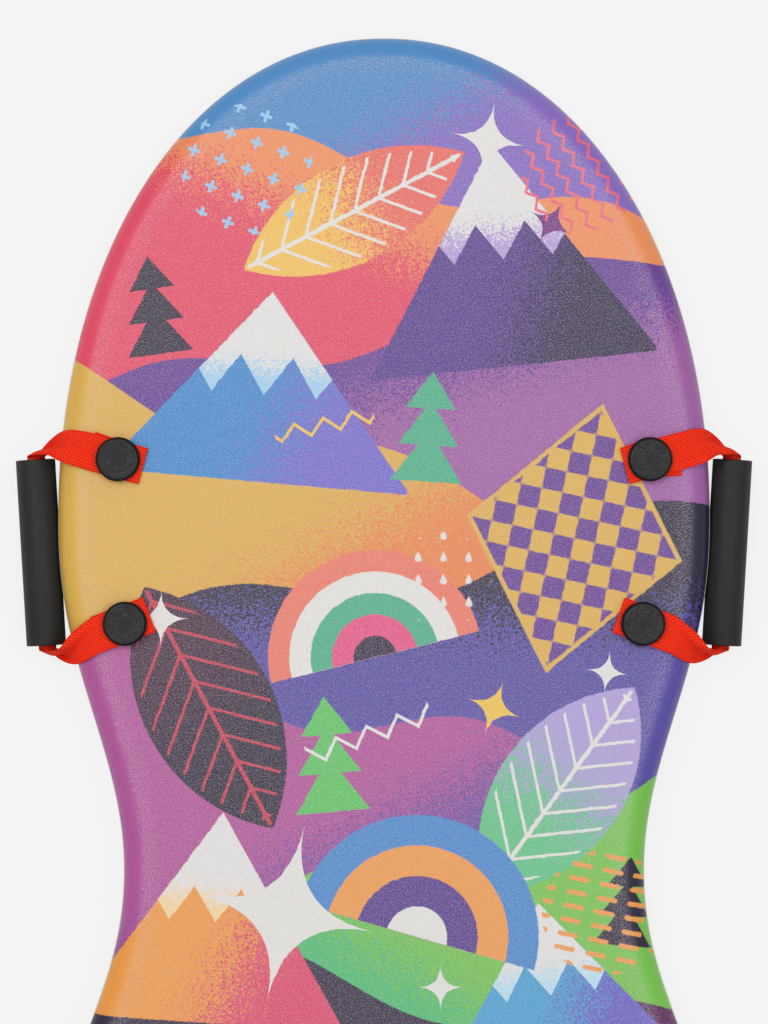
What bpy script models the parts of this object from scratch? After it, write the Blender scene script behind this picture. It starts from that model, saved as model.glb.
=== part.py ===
"""Foam belly sled with two side handles, lying on its slick base with its nose towards +Y.

Metres, +Z up. The origin is on the ground under the middle of the board.
Measures along the board are taken from the tip of the nose.
"""

import math

import bmesh
import bpy
import numpy as np
from mathutils import Matrix, Vector

# Outline of the board, seen from above
LENGTH = 0.920
FRONT_WIDTH = 0.4408
WAIST_WIDTH = 0.3522
TAIL_WIDTH = 0.4400
NOSE_LENGTH = 0.325
FRONT_FLANK_LENGTH = 0.236
REAR_FLANK_LENGTH = 0.193
NOSE_FULLNESS = 2.08
TAIL_FULLNESS = 2.30
FRONT_FLANK_LEAN = 1.13
REAR_FLANK_LEAN = 1.10

# Section of the board
THICKNESS = 0.038
SHOULDER_WIDTH = 0.018
SHOULDER_HEIGHT = 0.016
SIDE_TAPER = 0.003
BASE_EDGE_RADIUS = 0.006
SEAM_HEIGHT = 0.0075
SHEET_THICKNESS = 0.0012
BASE_THICKNESS = 0.0015
CONTACT_GAP = 0.0003

# Rivets, two on each side, set in from the edge beside them and spaced from the grip's middle
FRONT_RIVET_INSET = 0.0405
FRONT_RIVET_LEAD = 0.06285
REAR_RIVET_INSET = 0.0398
REAR_RIVET_TRAIL = 0.04755
BUTTON_RADIUS = 0.0149
BUTTON_HEIGHT = 0.0052
BUTTON_ROUNDING = 0.0012
BUTTON_DISH_RADIUS = 0.0118
BUTTON_DISH_DEPTH = 0.0004
BARREL_RADIUS = 0.0045
BARREL_WALL = 0.0014
FLANGE_RADIUS = 0.0150
FLANGE_THICKNESS = 0.0012
FLANGE_INSET = 0.0005
POST_LENGTH = 0.0200
SPIGOT_GAP = 0.0003

# Webbing of the handles
WEBBING_WIDTH = 0.025
WEBBING_THICKNESS = 0.0013
TIP_REACH = 0.0166
UNDERLAP_REACH = 0.0205
LAYER_GAP = 0.0004
FRONT_STRAP_ANGLE = math.radians(17.0)
REAR_STRAP_ANGLE = math.radians(22.5)
HINGE_OFFSET = 0.0175
HINGE_GAP = 0.00035
TAB_GAP = 0.0011
SHOULDER_REST = 0.0013

# How each strap corner folds over: run to the fold, run to the grip's mouth, and the fold's own shape
FRONT_FOLD_RUN = 0.0420
FRONT_MOUTH_RUN = 0.0660
FRONT_FOLD_ANGLE = math.radians(27.0)
FRONT_FOLD_RADIUS = 0.0026
FRONT_DRIFT = 0.0
REAR_FOLD_RUN = 0.0400
REAR_MOUTH_RUN = 0.0660
REAR_FOLD_ANGLE = math.radians(34.0)
REAR_FOLD_RADIUS = 0.0030
REAR_DRIFT = 6.0
BEND_INSET = 0.0160
BEND_ANGLE = math.radians(45.0)
BEND_RADIUS = 0.015
GATHER_START = 0.33
CURL_START = 0.40
SKEW_END = 0.35
CURL_TILT = math.radians(40.0)

# Grips
GRIP_LENGTH = 0.1260
GRIP_RADIUS = 0.01335
GRIP_BORE_RADIUS = 0.0070
GRIP_CLEARANCE = 0.00045
GRIP_REACH = 0.34785
GRIP_HEIGHT = 0.0155
GRIP_LEAN = math.radians(3.4)
GRIP_END_ROUNDING = 0.0008
CURL_GAP = 0.00035

# Fineness of the meshes
NOSE_STEPS = 18
FLANK_STEPS = 9
SHOULDER_STEPS = 4
BASE_EDGE_STEPS = 2
TURN_STEPS = 32
CORNER_ROWS = 20
ACROSS_POINTS = 9

FRONT_RIVET_REACH = GRIP_REACH - FRONT_RIVET_LEAD
REAR_RIVET_REACH = GRIP_REACH + REAR_RIVET_TRAIL
BOARD_TOP = THICKNESS
WIDEST_HEIGHT = THICKNESS - SHOULDER_HEIGHT
UNDERLAP_MID = BOARD_TOP + CONTACT_GAP + WEBBING_THICKNESS / 2
STRAP_MID = UNDERLAP_MID + WEBBING_THICKNESS + LAYER_GAP
BUTTON_BOTTOM = STRAP_MID + WEBBING_THICKNESS / 2 + CONTACT_GAP
CLEARANCE_RADIUS = BARREL_RADIUS + CONTACT_GAP
POCKET_RADIUS = FLANGE_RADIUS + CONTACT_GAP
FLANGE_TOP = FLANGE_INSET + FLANGE_THICKNESS
POCKET_TOP = FLANGE_TOP + CONTACT_GAP
DISH_RADIUS = POCKET_RADIUS + BASE_THICKNESS
DISH_TOP = POCKET_TOP + BASE_THICKNESS
BARREL_BOTTOM = FLANGE_TOP + CONTACT_GAP
BARREL_BORE_RADIUS = BARREL_RADIUS - BARREL_WALL
POST_RADIUS = BARREL_BORE_RADIUS - SPIGOT_GAP
POST_TOP = FLANGE_TOP + POST_LENGTH
CURL_RADIUS = GRIP_BORE_RADIUS - CURL_GAP - WEBBING_THICKNESS / 2


def clear_scene():
    for obj in list(bpy.data.objects):
        bpy.data.objects.remove(obj, do_unlink=True)


def new_collection(name):
    made = bpy.data.collections.new(name)
    bpy.context.scene.collection.children.link(made)
    return made


def principled(name, colour, roughness):
    """A plain Principled material for one kind of piece."""
    material = bpy.data.materials.new(name)
    material.use_nodes = True
    shader = material.node_tree.nodes["Principled BSDF"]
    shader.inputs["Base Color"].default_value = (*colour, 1.0)
    shader.inputs["Roughness"].default_value = roughness
    shader.inputs["Metallic"].default_value = 0.0
    return material


def add_object(name, mesh, material, collection):
    obj = bpy.data.objects.new(name, mesh)
    if material is not None:
        mesh.materials.append(material)
    collection.objects.link(obj)
    return obj


def mesh_from(name, build):
    """A mesh filled by build(bm), with its faces turned outwards."""
    bm = bmesh.new()
    build(bm)
    bmesh.ops.recalc_face_normals(bm, faces=bm.faces)
    mesh = bpy.data.meshes.new(name)
    bm.to_mesh(mesh)
    bm.free()
    return mesh


def smooth_shaded(mesh, angle=35.0):
    mesh.shade_smooth()
    mesh.set_sharp_from_angle(angle=math.radians(angle))


# Board

def half_width(reach):
    """Half the board's width at a reach from the nose: superellipse ends joined by two leaning cosine flanks."""
    reach = np.asarray(reach, float)
    front, waist, tail = FRONT_WIDTH / 2, WAIST_WIDTH / 2, TAIL_WIDTH / 2
    waist_reach = NOSE_LENGTH + FRONT_FLANK_LENGTH
    tail_reach = waist_reach + REAR_FLANK_LENGTH
    off_nose = np.clip((NOSE_LENGTH - reach) / NOSE_LENGTH, 0.0, 1.0)
    nose = front * (1 - off_nose**NOSE_FULLNESS) ** (1 / NOSE_FULLNESS)
    along = np.clip((reach - NOSE_LENGTH) / FRONT_FLANK_LENGTH, 0.0, 1.0) ** FRONT_FLANK_LEAN
    front_flank = (front + waist) / 2 + (front - waist) / 2 * np.cos(math.pi * along)
    along = np.clip((reach - waist_reach) / REAR_FLANK_LENGTH, 0.0, 1.0) ** REAR_FLANK_LEAN
    rear_flank = (waist + tail) / 2 + (waist - tail) / 2 * np.cos(math.pi * along)
    off_tail = np.clip((reach - tail_reach) / (LENGTH - tail_reach), 0.0, 1.0)
    end = tail * (1 - off_tail**TAIL_FULLNESS) ** (1 / TAIL_FULLNESS)
    inner = np.where(reach < waist_reach, front_flank, rear_flank)
    return np.where(reach < NOSE_LENGTH, nose, np.where(reach > tail_reach, end, inner))


def place(x, reach, z=0.0):
    """A point from its distance off the middle line, its reach from the nose tip, and its height."""
    return np.array([x, LENGTH / 2 - reach, z])


def right_edge_reaches():
    """Reaches of the outline's points from nose tip to tail tip, closer together round both ends."""
    waist_reach = NOSE_LENGTH + FRONT_FLANK_LENGTH
    tail_reach = waist_reach + REAR_FLANK_LENGTH
    turn = np.linspace(0.0, math.pi / 2, NOSE_STEPS + 1)
    nose = NOSE_LENGTH * (1 - np.cos(turn) ** (2 / NOSE_FULLNESS))
    tail = LENGTH - (LENGTH - tail_reach) * (1 - np.sin(turn) ** (2 / TAIL_FULLNESS))
    front_flank = np.linspace(NOSE_LENGTH, waist_reach, FLANK_STEPS + 1)[1:]
    rear_flank = np.linspace(waist_reach, tail_reach, FLANK_STEPS)[1:]
    return np.concatenate([nose, front_flank, rear_flank, tail[1:]])


def outline():
    """The closed outline as points and outward normals, running down the right side and up the left."""
    reaches = right_edge_reaches()
    widths = half_width(reaches)
    widths[0] = widths[-1] = 0.0
    right = np.stack([widths, LENGTH / 2 - reaches], axis=1)
    left = right[-2:0:-1] * np.array([-1.0, 1.0])
    points = np.concatenate([right, left])
    along = np.roll(points, -1, axis=0) - np.roll(points, 1, axis=0)
    normals = np.stack([-along[:, 1], along[:, 0]], axis=1)
    normals /= np.linalg.norm(normals, axis=1)[:, None]
    return points, normals


def section():
    """The board's outer section from base to top: inset from the outline, height, and inward normal of each point."""
    turn = np.linspace(0.0, math.pi / 2, BASE_EDGE_STEPS + 1)
    base = np.stack(
        [
            SIDE_TAPER + BASE_EDGE_RADIUS * (1 - np.sin(turn)),
            BASE_EDGE_RADIUS * (1 - np.cos(turn)),
            np.sin(turn),
            np.cos(turn),
        ],
        axis=1,
    )
    share = (SEAM_HEIGHT - BASE_EDGE_RADIUS) / (WIDEST_HEIGHT - BASE_EDGE_RADIUS)
    seam = np.array([[SIDE_TAPER * (1 - share), SEAM_HEIGHT, 1.0, 0.0]])
    turn = np.linspace(0.0, math.pi / 2, SHOULDER_STEPS + 1)
    slope = np.stack([np.cos(turn) / SHOULDER_WIDTH, -np.sin(turn) / SHOULDER_HEIGHT], axis=1)
    slope /= np.linalg.norm(slope, axis=1)[:, None]
    shoulder = np.stack(
        [
            SHOULDER_WIDTH * (1 - np.cos(turn)),
            WIDEST_HEIGHT + SHOULDER_HEIGHT * np.sin(turn),
            slope[:, 0],
            slope[:, 1],
        ],
        axis=1,
    )
    return base, seam, shoulder


def grip_stand_off():
    """How far the grip's axis stays out from the board's edge, so that its round side clears the section."""
    base, seam, shoulder = section()
    rows = np.concatenate([base, seam, shoulder])
    heights = np.linspace(0.0, THICKNESS, 200)
    insets = np.interp(heights, rows[:, 1], rows[:, 0])
    clear = GRIP_RADIUS + GRIP_CLEARANCE
    rise = heights - GRIP_HEIGHT
    beside = np.abs(rise) < clear
    return np.max(np.sqrt(clear**2 - rise[beside] ** 2) - insets[beside])


def grip_middle():
    """The grip's middle, moved out until the board's edge is clear all along it."""
    along = np.linspace(-GRIP_LENGTH / 2, GRIP_LENGTH / 2, 60)
    edge = half_width(GRIP_REACH + along * math.cos(GRIP_LEAN)) + along * math.sin(GRIP_LEAN)
    return place(edge.max() + grip_stand_off(), GRIP_REACH, GRIP_HEIGHT)


FRONT_RIVET = place(half_width(FRONT_RIVET_REACH) - FRONT_RIVET_INSET, FRONT_RIVET_REACH)
REAR_RIVET = place(half_width(REAR_RIVET_REACH) - REAR_RIVET_INSET, REAR_RIVET_REACH)
HINGE_LINE = (REAR_RIVET - FRONT_RIVET) / np.linalg.norm(REAR_RIVET - FRONT_RIVET)
HINGE_OUT = np.array([-HINGE_LINE[1], HINGE_LINE[0], 0.0])
HINGE_POINT = FRONT_RIVET + HINGE_OFFSET * HINGE_OUT + np.array([0.0, 0.0, STRAP_MID])
GRIP_AXIS = np.array([-math.sin(GRIP_LEAN), -math.cos(GRIP_LEAN), 0.0])
GRIP_MIDDLE = grip_middle()
FRONT_MOUTH = GRIP_MIDDLE - GRIP_AXIS * GRIP_LENGTH / 2
REAR_MOUTH = GRIP_MIDDLE + GRIP_AXIS * GRIP_LENGTH / 2
SIDES = {"left": -1.0, "right": 1.0}


def ring(inset, height):
    """The outline drawn in by inset, at one height."""
    points, normals = outline()
    level = np.full((len(points), 1), height)
    return np.hstack([points - inset * normals, level])


def rings_of(rows, depth):
    """Rings through section rows moved inwards along their normals by depth."""
    return [ring(row[0] + depth * row[2], row[1] + depth * row[3]) for row in rows]


def ring_stack(name, rings):
    """A closed body: the rings joined one to the next, with a flat face on the first and the last."""

    def build(bm):
        loops = [[bm.verts.new(point) for point in points] for points in rings]
        for lower, upper in zip(loops, loops[1:]):
            for i in range(len(lower)):
                j = (i + 1) % len(lower)
                bm.faces.new((lower[i], lower[j], upper[j], upper[i]))
        bm.faces.new(loops[0])
        bm.faces.new(loops[-1])

    return mesh_from(name, build)


def foam_core(material, collection):
    """The closed-cell foam body, inside the printed sheet above and the slick base below."""
    base, seam, shoulder = section()
    sheet_depth = SHEET_THICKNESS + CONTACT_GAP
    base_depth = BASE_THICKNESS + CONTACT_GAP
    rings = rings_of(base, base_depth) + rings_of(seam, max(sheet_depth, base_depth))
    rings += rings_of(shoulder, sheet_depth)
    obj = add_object("foam_core", ring_stack("foam_core", rings), material, collection)
    smooth_shaded(obj.data)
    return obj


def print_sheet(material, collection):
    """The printed skin over the top, the shoulder and the side, down to the seam."""
    _, seam, shoulder = section()
    edge = seam.copy()
    edge[:, 1] += CONTACT_GAP / 2
    rows = np.concatenate([edge, shoulder])
    rings = rings_of(rows[::-1], 0.0) + rings_of(rows, SHEET_THICKNESS)
    obj = add_object("print_sheet", ring_stack("print_sheet", rings), material, collection)
    smooth_shaded(obj.data)
    return obj


def slick_base(material, collection):
    """The hard running base with its turned-up edge, ending under the seam."""
    base, seam, _ = section()
    edge = seam.copy()
    edge[:, 1] -= CONTACT_GAP / 2
    rows = np.concatenate([base, edge])
    rings = rings_of(rows, 0.0) + rings_of(rows[::-1], BASE_THICKNESS)
    obj = add_object("slick_base", ring_stack("slick_base", rings), material, collection)
    smooth_shaded(obj.data)
    return obj


def rivet_places():
    """Side, end and ground point of each rivet."""
    for side, sign in SIDES.items():
        for end, rivet in (("front", FRONT_RIVET), ("rear", REAR_RIVET)):
            yield side, end, rivet * np.array([sign, 1.0, 1.0])


def four_cylinders(name, radius, bottom, top, cutters):
    """One cylinder at each rivet, joined in a single helper object."""

    def build(bm):
        for _, _, spot in rivet_places():
            move = Matrix.Translation(Vector(spot) + Vector((0.0, 0.0, (bottom + top) / 2)))
            bmesh.ops.create_cone(
                bm,
                cap_ends=True,
                segments=TURN_STEPS,
                radius1=radius,
                radius2=radius,
                depth=top - bottom,
                matrix=move,
            )

    obj = add_object(name, mesh_from(name, build), None, cutters)
    obj.hide_render = True
    obj.display_type = "WIRE"
    return obj


def boolean(obj, other, operation):
    modifier = obj.modifiers.new(other.name, "BOOLEAN")
    modifier.operation = operation
    modifier.solver = "EXACT"
    modifier.object = other


def board_pieces(materials, parts, cutters):
    """Core, sheet and base, with the rivets' holes, and the dished pockets that take the flanges."""
    bores = four_cylinders("barrel_bores", CLEARANCE_RADIUS, -THICKNESS, 2 * THICKNESS, cutters)
    pockets = four_cylinders("flange_pockets", POCKET_RADIUS, -POCKET_TOP, POCKET_TOP, cutters)
    dishes = four_cylinders("flange_dishes", DISH_RADIUS, BASE_THICKNESS / 2, DISH_TOP, cutters)
    recesses = four_cylinders(
        "dish_recesses", DISH_RADIUS + CONTACT_GAP, -DISH_TOP, DISH_TOP + CONTACT_GAP, cutters
    )
    core = foam_core(materials["foam"], parts)
    boolean(core, recesses, "DIFFERENCE")
    boolean(core, bores, "DIFFERENCE")
    sheet = print_sheet(materials["print"], parts)
    boolean(sheet, bores, "DIFFERENCE")
    base = slick_base(materials["slick"], parts)
    boolean(base, dishes, "UNION")
    boolean(base, pockets, "DIFFERENCE")
    boolean(base, bores, "DIFFERENCE")
    return bores


# Rivets

def turned(name, profile, spot, material, collection):
    """A profile of radius and height pairs, top first, turned round the rivet's own axis."""
    mesh = bpy.data.meshes.new(name)
    points = [(radius, 0.0, height) for radius, height in profile]
    edges = [(i, i + 1) for i in range(len(points) - 1)]
    mesh.from_pydata(points, edges, [])
    obj = add_object(name, mesh, material, collection)
    obj.location = spot
    screw = obj.modifiers.new("turn", "SCREW")
    screw.steps = screw.render_steps = TURN_STEPS
    screw.use_merge_vertices = True
    screw.merge_threshold = 0.00001
    screw.use_smooth_shade = True
    obj.modifiers.new("flat_faces", "WEIGHTED_NORMAL")
    return obj


def rivet_cap_profile():
    """Button head with a shallow dish and a rounded edge, over a hollow barrel."""
    top = BUTTON_BOTTOM + BUTTON_HEIGHT
    floor = top - BUTTON_DISH_DEPTH
    turn = np.linspace(math.pi / 2, 0.0, 4)
    rim = [
        (
            BUTTON_RADIUS - BUTTON_ROUNDING + BUTTON_ROUNDING * math.cos(a),
            top - BUTTON_ROUNDING + BUTTON_ROUNDING * math.sin(a),
        )
        for a in turn
    ]
    bore_top = BUTTON_BOTTOM
    head = [(0.0, floor), (BUTTON_DISH_RADIUS, floor), (BUTTON_DISH_RADIUS + BUTTON_DISH_DEPTH, top)]
    head += rim + [(BUTTON_RADIUS, BUTTON_BOTTOM)]
    barrel = [
        (BARREL_RADIUS, BUTTON_BOTTOM),
        (BARREL_RADIUS, BARREL_BOTTOM),
        (BARREL_BORE_RADIUS, BARREL_BOTTOM),
        (BARREL_BORE_RADIUS, bore_top),
        (0.0, bore_top),
    ]
    return head + barrel


def rivet_base_profile():
    """Flat flange under the board, with the post that snaps into the barrel."""
    lead = POST_RADIUS / 4
    return [
        (0.0, POST_TOP),
        (POST_RADIUS - lead, POST_TOP),
        (POST_RADIUS, POST_TOP - lead),
        (POST_RADIUS, FLANGE_TOP),
        (FLANGE_RADIUS, FLANGE_TOP),
        (FLANGE_RADIUS, FLANGE_INSET),
        (0.0, FLANGE_INSET),
    ]


def rivets(materials, parts):
    for side, end, spot in rivet_places():
        turned(f"rivet_cap_{side}_{end}", rivet_cap_profile(), spot, materials["rivet"], parts)
        turned(f"rivet_base_{side}_{end}", rivet_base_profile(), spot, materials["rivet"], parts)


# Webbing

def eased(value, start, end):
    """0 before start, 1 after end, and a smooth step between them."""
    share = np.clip((value - start) / (end - start), 0.0, 1.0)
    return share * share * (3 - 2 * share)


def strap_directions(angle, toward_nose):
    """Plan directions of a strap end: along it outwards, and across it towards the other strap end."""
    along = np.array([math.cos(angle), toward_nose * math.sin(angle)])
    across = np.array([math.sin(angle), -toward_nose * math.cos(angle)])
    return along, across


def hinge_run(rivet, along, across, offset):
    """Run from the rivet to a line beside the hinge line, and how that run changes across the strap."""
    out = HINGE_OUT[:2]
    run = ((HINGE_POINT[:2] - rivet[:2]) @ out + offset) / (along @ out)
    return run, -(across @ out) / (along @ out)


def off_the_board(points):
    """Points lifted off the shoulder, or pushed off the side, so that the webbing only rests on the board."""
    x, y, z = points[..., 0].copy(), points[..., 1].copy(), points[..., 2].copy()
    centre = half_width(LENGTH / 2 - y) - SHOULDER_WIDTH
    wide = SHOULDER_WIDTH + SHOULDER_REST
    high = SHOULDER_HEIGHT + SHOULDER_REST
    dx, dz = x - centre, z - WIDEST_HEIGHT
    radius = np.hypot(np.maximum(dx, 0.0) / wide, np.maximum(dz, 0.0) / high)
    grow = np.where((dx > 0) & (dz > 0) & (radius < 1), 1 / np.maximum(radius, 0.01), 1.0)
    x, z = centre + dx * grow, WIDEST_HEIGHT + dz * grow
    x = np.where((dz <= 0) & (dx < wide), centre + wide, x)
    z = np.where((dx <= 0) & (z < BOARD_TOP + SHOULDER_REST), BOARD_TOP + SHOULDER_REST, z)
    return np.stack([x, y, z], axis=-1)


def before_the_grip(points, mouth, into_grip):
    """Points beside the grip's end, eased back so that none runs past its mouth."""
    margin = WEBBING_THICKNESS + CURL_GAP
    past = (points - mouth) @ into_grip
    radius = np.linalg.norm(points - mouth - past[..., None] * into_grip, axis=-1)
    near = 1 - eased(radius, 1.4 * GRIP_RADIUS, 2.2 * GRIP_RADIUS)
    over = np.maximum(past + 2 * margin, 0.0)
    back = over - margin * (1 - np.exp(-over / margin))
    return points - (near * back)[..., None] * into_grip


def corner_rows(rivet, mouth, into_grip, toward_nose, fold):
    """Rows of points across the webbing from the hinge line to the grip's mouth, on the right side.

    The flat strap is folded over a slanting line by wrapping it round a small cylinder, bent down over the
    board's shoulder, and then drawn together into the curl that runs through the grip.
    """
    along, across = strap_directions(fold["angle"], toward_nose)
    start, skew = hinge_run(rivet, along, across, HINGE_GAP)
    share = np.linspace(0.0, 1.0, CORNER_ROWS)[:, None]
    run = start + (fold["mouth_run"] - start) * share
    off = np.linspace(-WEBBING_WIDTH / 2, WEBBING_WIDTH / 2, ACROSS_POINTS)[None, :]
    skewed = run + off * skew * (1 - eased(share, 0.0, SKEW_END))
    flat = rivet[:2] + skewed[..., None] * along + off[..., None] * across
    drift = fold["drift"] * np.maximum(skewed - UNDERLAP_REACH, 0.0) ** 2
    flat = flat - drift[..., None] * np.array([0.0, toward_nose])

    line = np.array([math.cos(fold["slant"]), -toward_nose * math.sin(fold["slant"])])
    beyond = np.array([math.sin(fold["slant"]), toward_nose * math.cos(fold["slant"])])
    corner = rivet[:2] + fold["fold_run"] * along
    past, side = (flat - corner) @ beyond, (flat - corner) @ line
    radius = fold["radius"]
    wrap = np.clip(past / radius, 0.0, math.pi)
    inplane = np.where(past < 0, past, radius * np.sin(wrap)) - np.maximum(past - math.pi * radius, 0.0)
    drop = radius * (1 - np.cos(wrap))
    plan_x = corner[0] + side * line[0] + inplane * beyond[0]
    plan_y = corner[1] + side * line[1] + inplane * beyond[1]

    bend_x = half_width(LENGTH / 2 - rivet[1]) - BEND_INSET
    bend = np.clip((plan_x - bend_x) / BEND_RADIUS, 0.0, BEND_ANGLE)
    rest = np.maximum(plan_x - bend_x - BEND_RADIUS * BEND_ANGLE, 0.0)
    x = np.where(bend > 0, bend_x + BEND_RADIUS * np.sin(bend) + rest * math.cos(BEND_ANGLE), plan_x)
    z = STRAP_MID - BEND_RADIUS * (1 - np.cos(bend)) - rest * math.sin(BEND_ANGLE)
    folded = np.stack([x - drop * np.sin(bend), plan_y, z - drop * np.cos(bend)], axis=-1)
    folded = before_the_grip(folded, mouth, into_grip)

    opening = np.array([math.sin(CURL_TILT), 0.0, math.cos(CURL_TILT)])
    opening -= into_grip * (opening @ into_grip)
    opening /= np.linalg.norm(opening)
    outward = np.cross(into_grip, opening)
    outward *= np.sign(outward[0])
    curl = (0.1 + 0.9 * eased(share, CURL_START, 1.0)) / CURL_RADIUS
    sideways, rise = np.sin(curl * off) / curl, (1 - np.cos(curl * off)) / curl
    bottom = mouth - CURL_RADIUS * opening
    before = (run - fold["mouth_run"])[..., None] * into_grip
    curled = bottom + before + sideways[..., None] * outward + rise[..., None] * opening

    gather = eased(share, GATHER_START, 1.0)[..., None]
    return off_the_board((1 - gather) * folded + gather * curled)


def strap_rows():
    """The whole moving loop on the right side: front corner, run through the grip, rear corner."""
    front = {
        "angle": FRONT_STRAP_ANGLE,
        "fold_run": FRONT_FOLD_RUN,
        "mouth_run": FRONT_MOUTH_RUN,
        "slant": FRONT_FOLD_ANGLE,
        "radius": FRONT_FOLD_RADIUS,
        "drift": FRONT_DRIFT,
    }
    rear = {
        "angle": REAR_STRAP_ANGLE,
        "fold_run": REAR_FOLD_RUN,
        "mouth_run": REAR_MOUTH_RUN,
        "slant": REAR_FOLD_ANGLE,
        "radius": REAR_FOLD_RADIUS,
        "drift": REAR_DRIFT,
    }
    first = corner_rows(FRONT_RIVET, FRONT_MOUTH, GRIP_AXIS, 1.0, front)
    last = corner_rows(REAR_RIVET, REAR_MOUTH, -GRIP_AXIS, -1.0, rear)
    return np.concatenate([first, last[::-1]])


def tab_rows(rivet, angle, toward_nose):
    """The clamped end on the right side: hinge line, in under the button, round the tip and back beneath."""
    along, across = strap_directions(angle, toward_nose)
    start, skew = hinge_run(rivet, along, across, -TAB_GAP)
    off = np.linspace(-WEBBING_WIDTH / 2, WEBBING_WIDTH / 2, 3)
    turn_radius = (STRAP_MID - UNDERLAP_MID) / 2
    turn = np.linspace(math.pi / 2, -math.pi / 2, 5)
    rows = [(start + off * skew, STRAP_MID)]
    for angle_in_turn in turn:
        reach = -TIP_REACH + turn_radius * (1 - math.cos(angle_in_turn))
        height = (STRAP_MID + UNDERLAP_MID) / 2 + turn_radius * math.sin(angle_in_turn)
        rows.append((np.full(3, reach), height))
    rows.append((np.full(3, UNDERLAP_REACH), UNDERLAP_MID))
    made = []
    for runs, height in rows:
        plan = rivet[:2] + runs[:, None] * along + off[:, None] * across
        made.append(np.hstack([plan, np.full((3, 1), height)]))
    return np.array(made)


def webbing(name, rows, sign, material, collection):
    """A strip of webbing through rows of points, given its thickness half to each side."""
    rows = rows * np.array([sign, 1.0, 1.0])

    def build(bm):
        verts = [[bm.verts.new(point) for point in row] for row in rows]
        for first, second in zip(verts, verts[1:]):
            for i in range(len(first) - 1):
                bm.faces.new((first[i], first[i + 1], second[i + 1], second[i]))

    obj = add_object(name, mesh_from(name, build), material, collection)
    obj.data.shade_smooth()
    solid = obj.modifiers.new("thickness", "SOLIDIFY")
    solid.thickness = WEBBING_THICKNESS
    solid.offset = 0.0
    solid.use_even_offset = True
    return obj


def pivot_at(obj, point):
    """Moves an object's origin to a point, with its mesh left where it is."""
    obj.data.transform(Matrix.Translation(-Vector(point)))
    obj.location = point


# Grips

def grip(name, sign, material, collection):
    """The straight tube grip: a turned wall round the bore that the webbing runs through."""
    half = GRIP_LENGTH / 2
    cut = GRIP_END_ROUNDING
    profile = [
        (GRIP_BORE_RADIUS, half),
        (GRIP_RADIUS - cut, half),
        (GRIP_RADIUS, half - cut),
        (GRIP_RADIUS, cut - half),
        (GRIP_RADIUS - cut, -half),
        (GRIP_BORE_RADIUS, -half),
        (GRIP_BORE_RADIUS, half),
    ]
    obj = turned(name, profile, GRIP_MIDDLE * np.array([sign, 1.0, 1.0]), material, collection)
    toward_nose = Vector(-GRIP_AXIS * np.array([sign, 1.0, 1.0]))
    obj.rotation_mode = "QUATERNION"
    obj.rotation_quaternion = Vector((0.0, 0.0, 1.0)).rotation_difference(toward_nose)
    return obj


def handles(materials, bores, parts):
    """Both handles: clamped strap ends on the board, the swinging loop, and the grip that turns on it."""
    loop_rows = strap_rows()
    ends = {
        "front": tab_rows(FRONT_RIVET, FRONT_STRAP_ANGLE, 1.0),
        "rear": tab_rows(REAR_RIVET, REAR_STRAP_ANGLE, -1.0),
    }
    for side, sign in SIDES.items():
        for end, rows in ends.items():
            tab = webbing(f"strap_end_{side}_{end}", rows, sign, materials["webbing"], parts)
            boolean(tab, bores, "DIFFERENCE")
        loop = webbing(f"strap_loop_{side}", loop_rows, sign, materials["webbing"], parts)
        pivot_at(loop, HINGE_POINT * np.array([sign, 1.0, 1.0]))
        grip(f"grip_{side}", sign, materials["grip"], parts)


def main():
    clear_scene()
    parts = new_collection("foam_sled")
    cutters = new_collection("cutters")
    materials = {
        "foam": principled("foam", (0.80, 0.80, 0.78), 0.90),
        "print": principled("printed_skin", (0.30, 0.16, 0.42), 0.45),
        "slick": principled("slick_base", (0.10, 0.08, 0.20), 0.30),
        "rivet": principled("rivet_plastic", (0.03, 0.03, 0.032), 0.50),
        "webbing": principled("webbing", (0.85, 0.06, 0.01), 0.80),
        "grip": principled("grip_rubber", (0.035, 0.033, 0.032), 0.60),
    }
    bores = board_pieces(materials, parts, cutters)
    rivets(materials, parts)
    handles(materials, bores, parts)


main()
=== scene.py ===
# %% [markdown]
# # A foam belly sled
# The sled is a slab of closed-cell foam with a printed film on top and a hard slick base below.
# Two webbing handles hang over its sides, each with a tube grip, held on by black plastic rivets.
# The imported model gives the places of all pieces. This script gives them their finished surfaces.

# %% Load the frame
import math

import bmesh
import bpy
import numpy as np
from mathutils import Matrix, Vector


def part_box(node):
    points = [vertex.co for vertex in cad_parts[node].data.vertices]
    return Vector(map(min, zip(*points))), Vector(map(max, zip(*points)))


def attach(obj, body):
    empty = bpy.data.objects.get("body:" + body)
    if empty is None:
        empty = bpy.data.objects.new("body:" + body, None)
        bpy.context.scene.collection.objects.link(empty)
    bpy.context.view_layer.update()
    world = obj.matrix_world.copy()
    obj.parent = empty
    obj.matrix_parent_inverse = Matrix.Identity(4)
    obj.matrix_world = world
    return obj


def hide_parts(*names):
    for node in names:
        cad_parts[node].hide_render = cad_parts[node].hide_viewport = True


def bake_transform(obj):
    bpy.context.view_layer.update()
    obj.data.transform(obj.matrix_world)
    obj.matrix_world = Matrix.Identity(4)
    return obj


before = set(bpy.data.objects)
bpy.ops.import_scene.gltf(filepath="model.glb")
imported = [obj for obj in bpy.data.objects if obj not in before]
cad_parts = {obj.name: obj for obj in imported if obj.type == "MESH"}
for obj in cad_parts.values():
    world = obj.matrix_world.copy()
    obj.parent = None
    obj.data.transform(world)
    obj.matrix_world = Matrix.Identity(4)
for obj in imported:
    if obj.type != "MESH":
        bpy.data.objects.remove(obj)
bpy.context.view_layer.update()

# %% [markdown]
# ## Sizes
# Every size is in metres. Places along the board are stated as a reach from the tip of the nose,
# as one would lay a tape measure on it, and turned into Y where a point is made.

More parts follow.
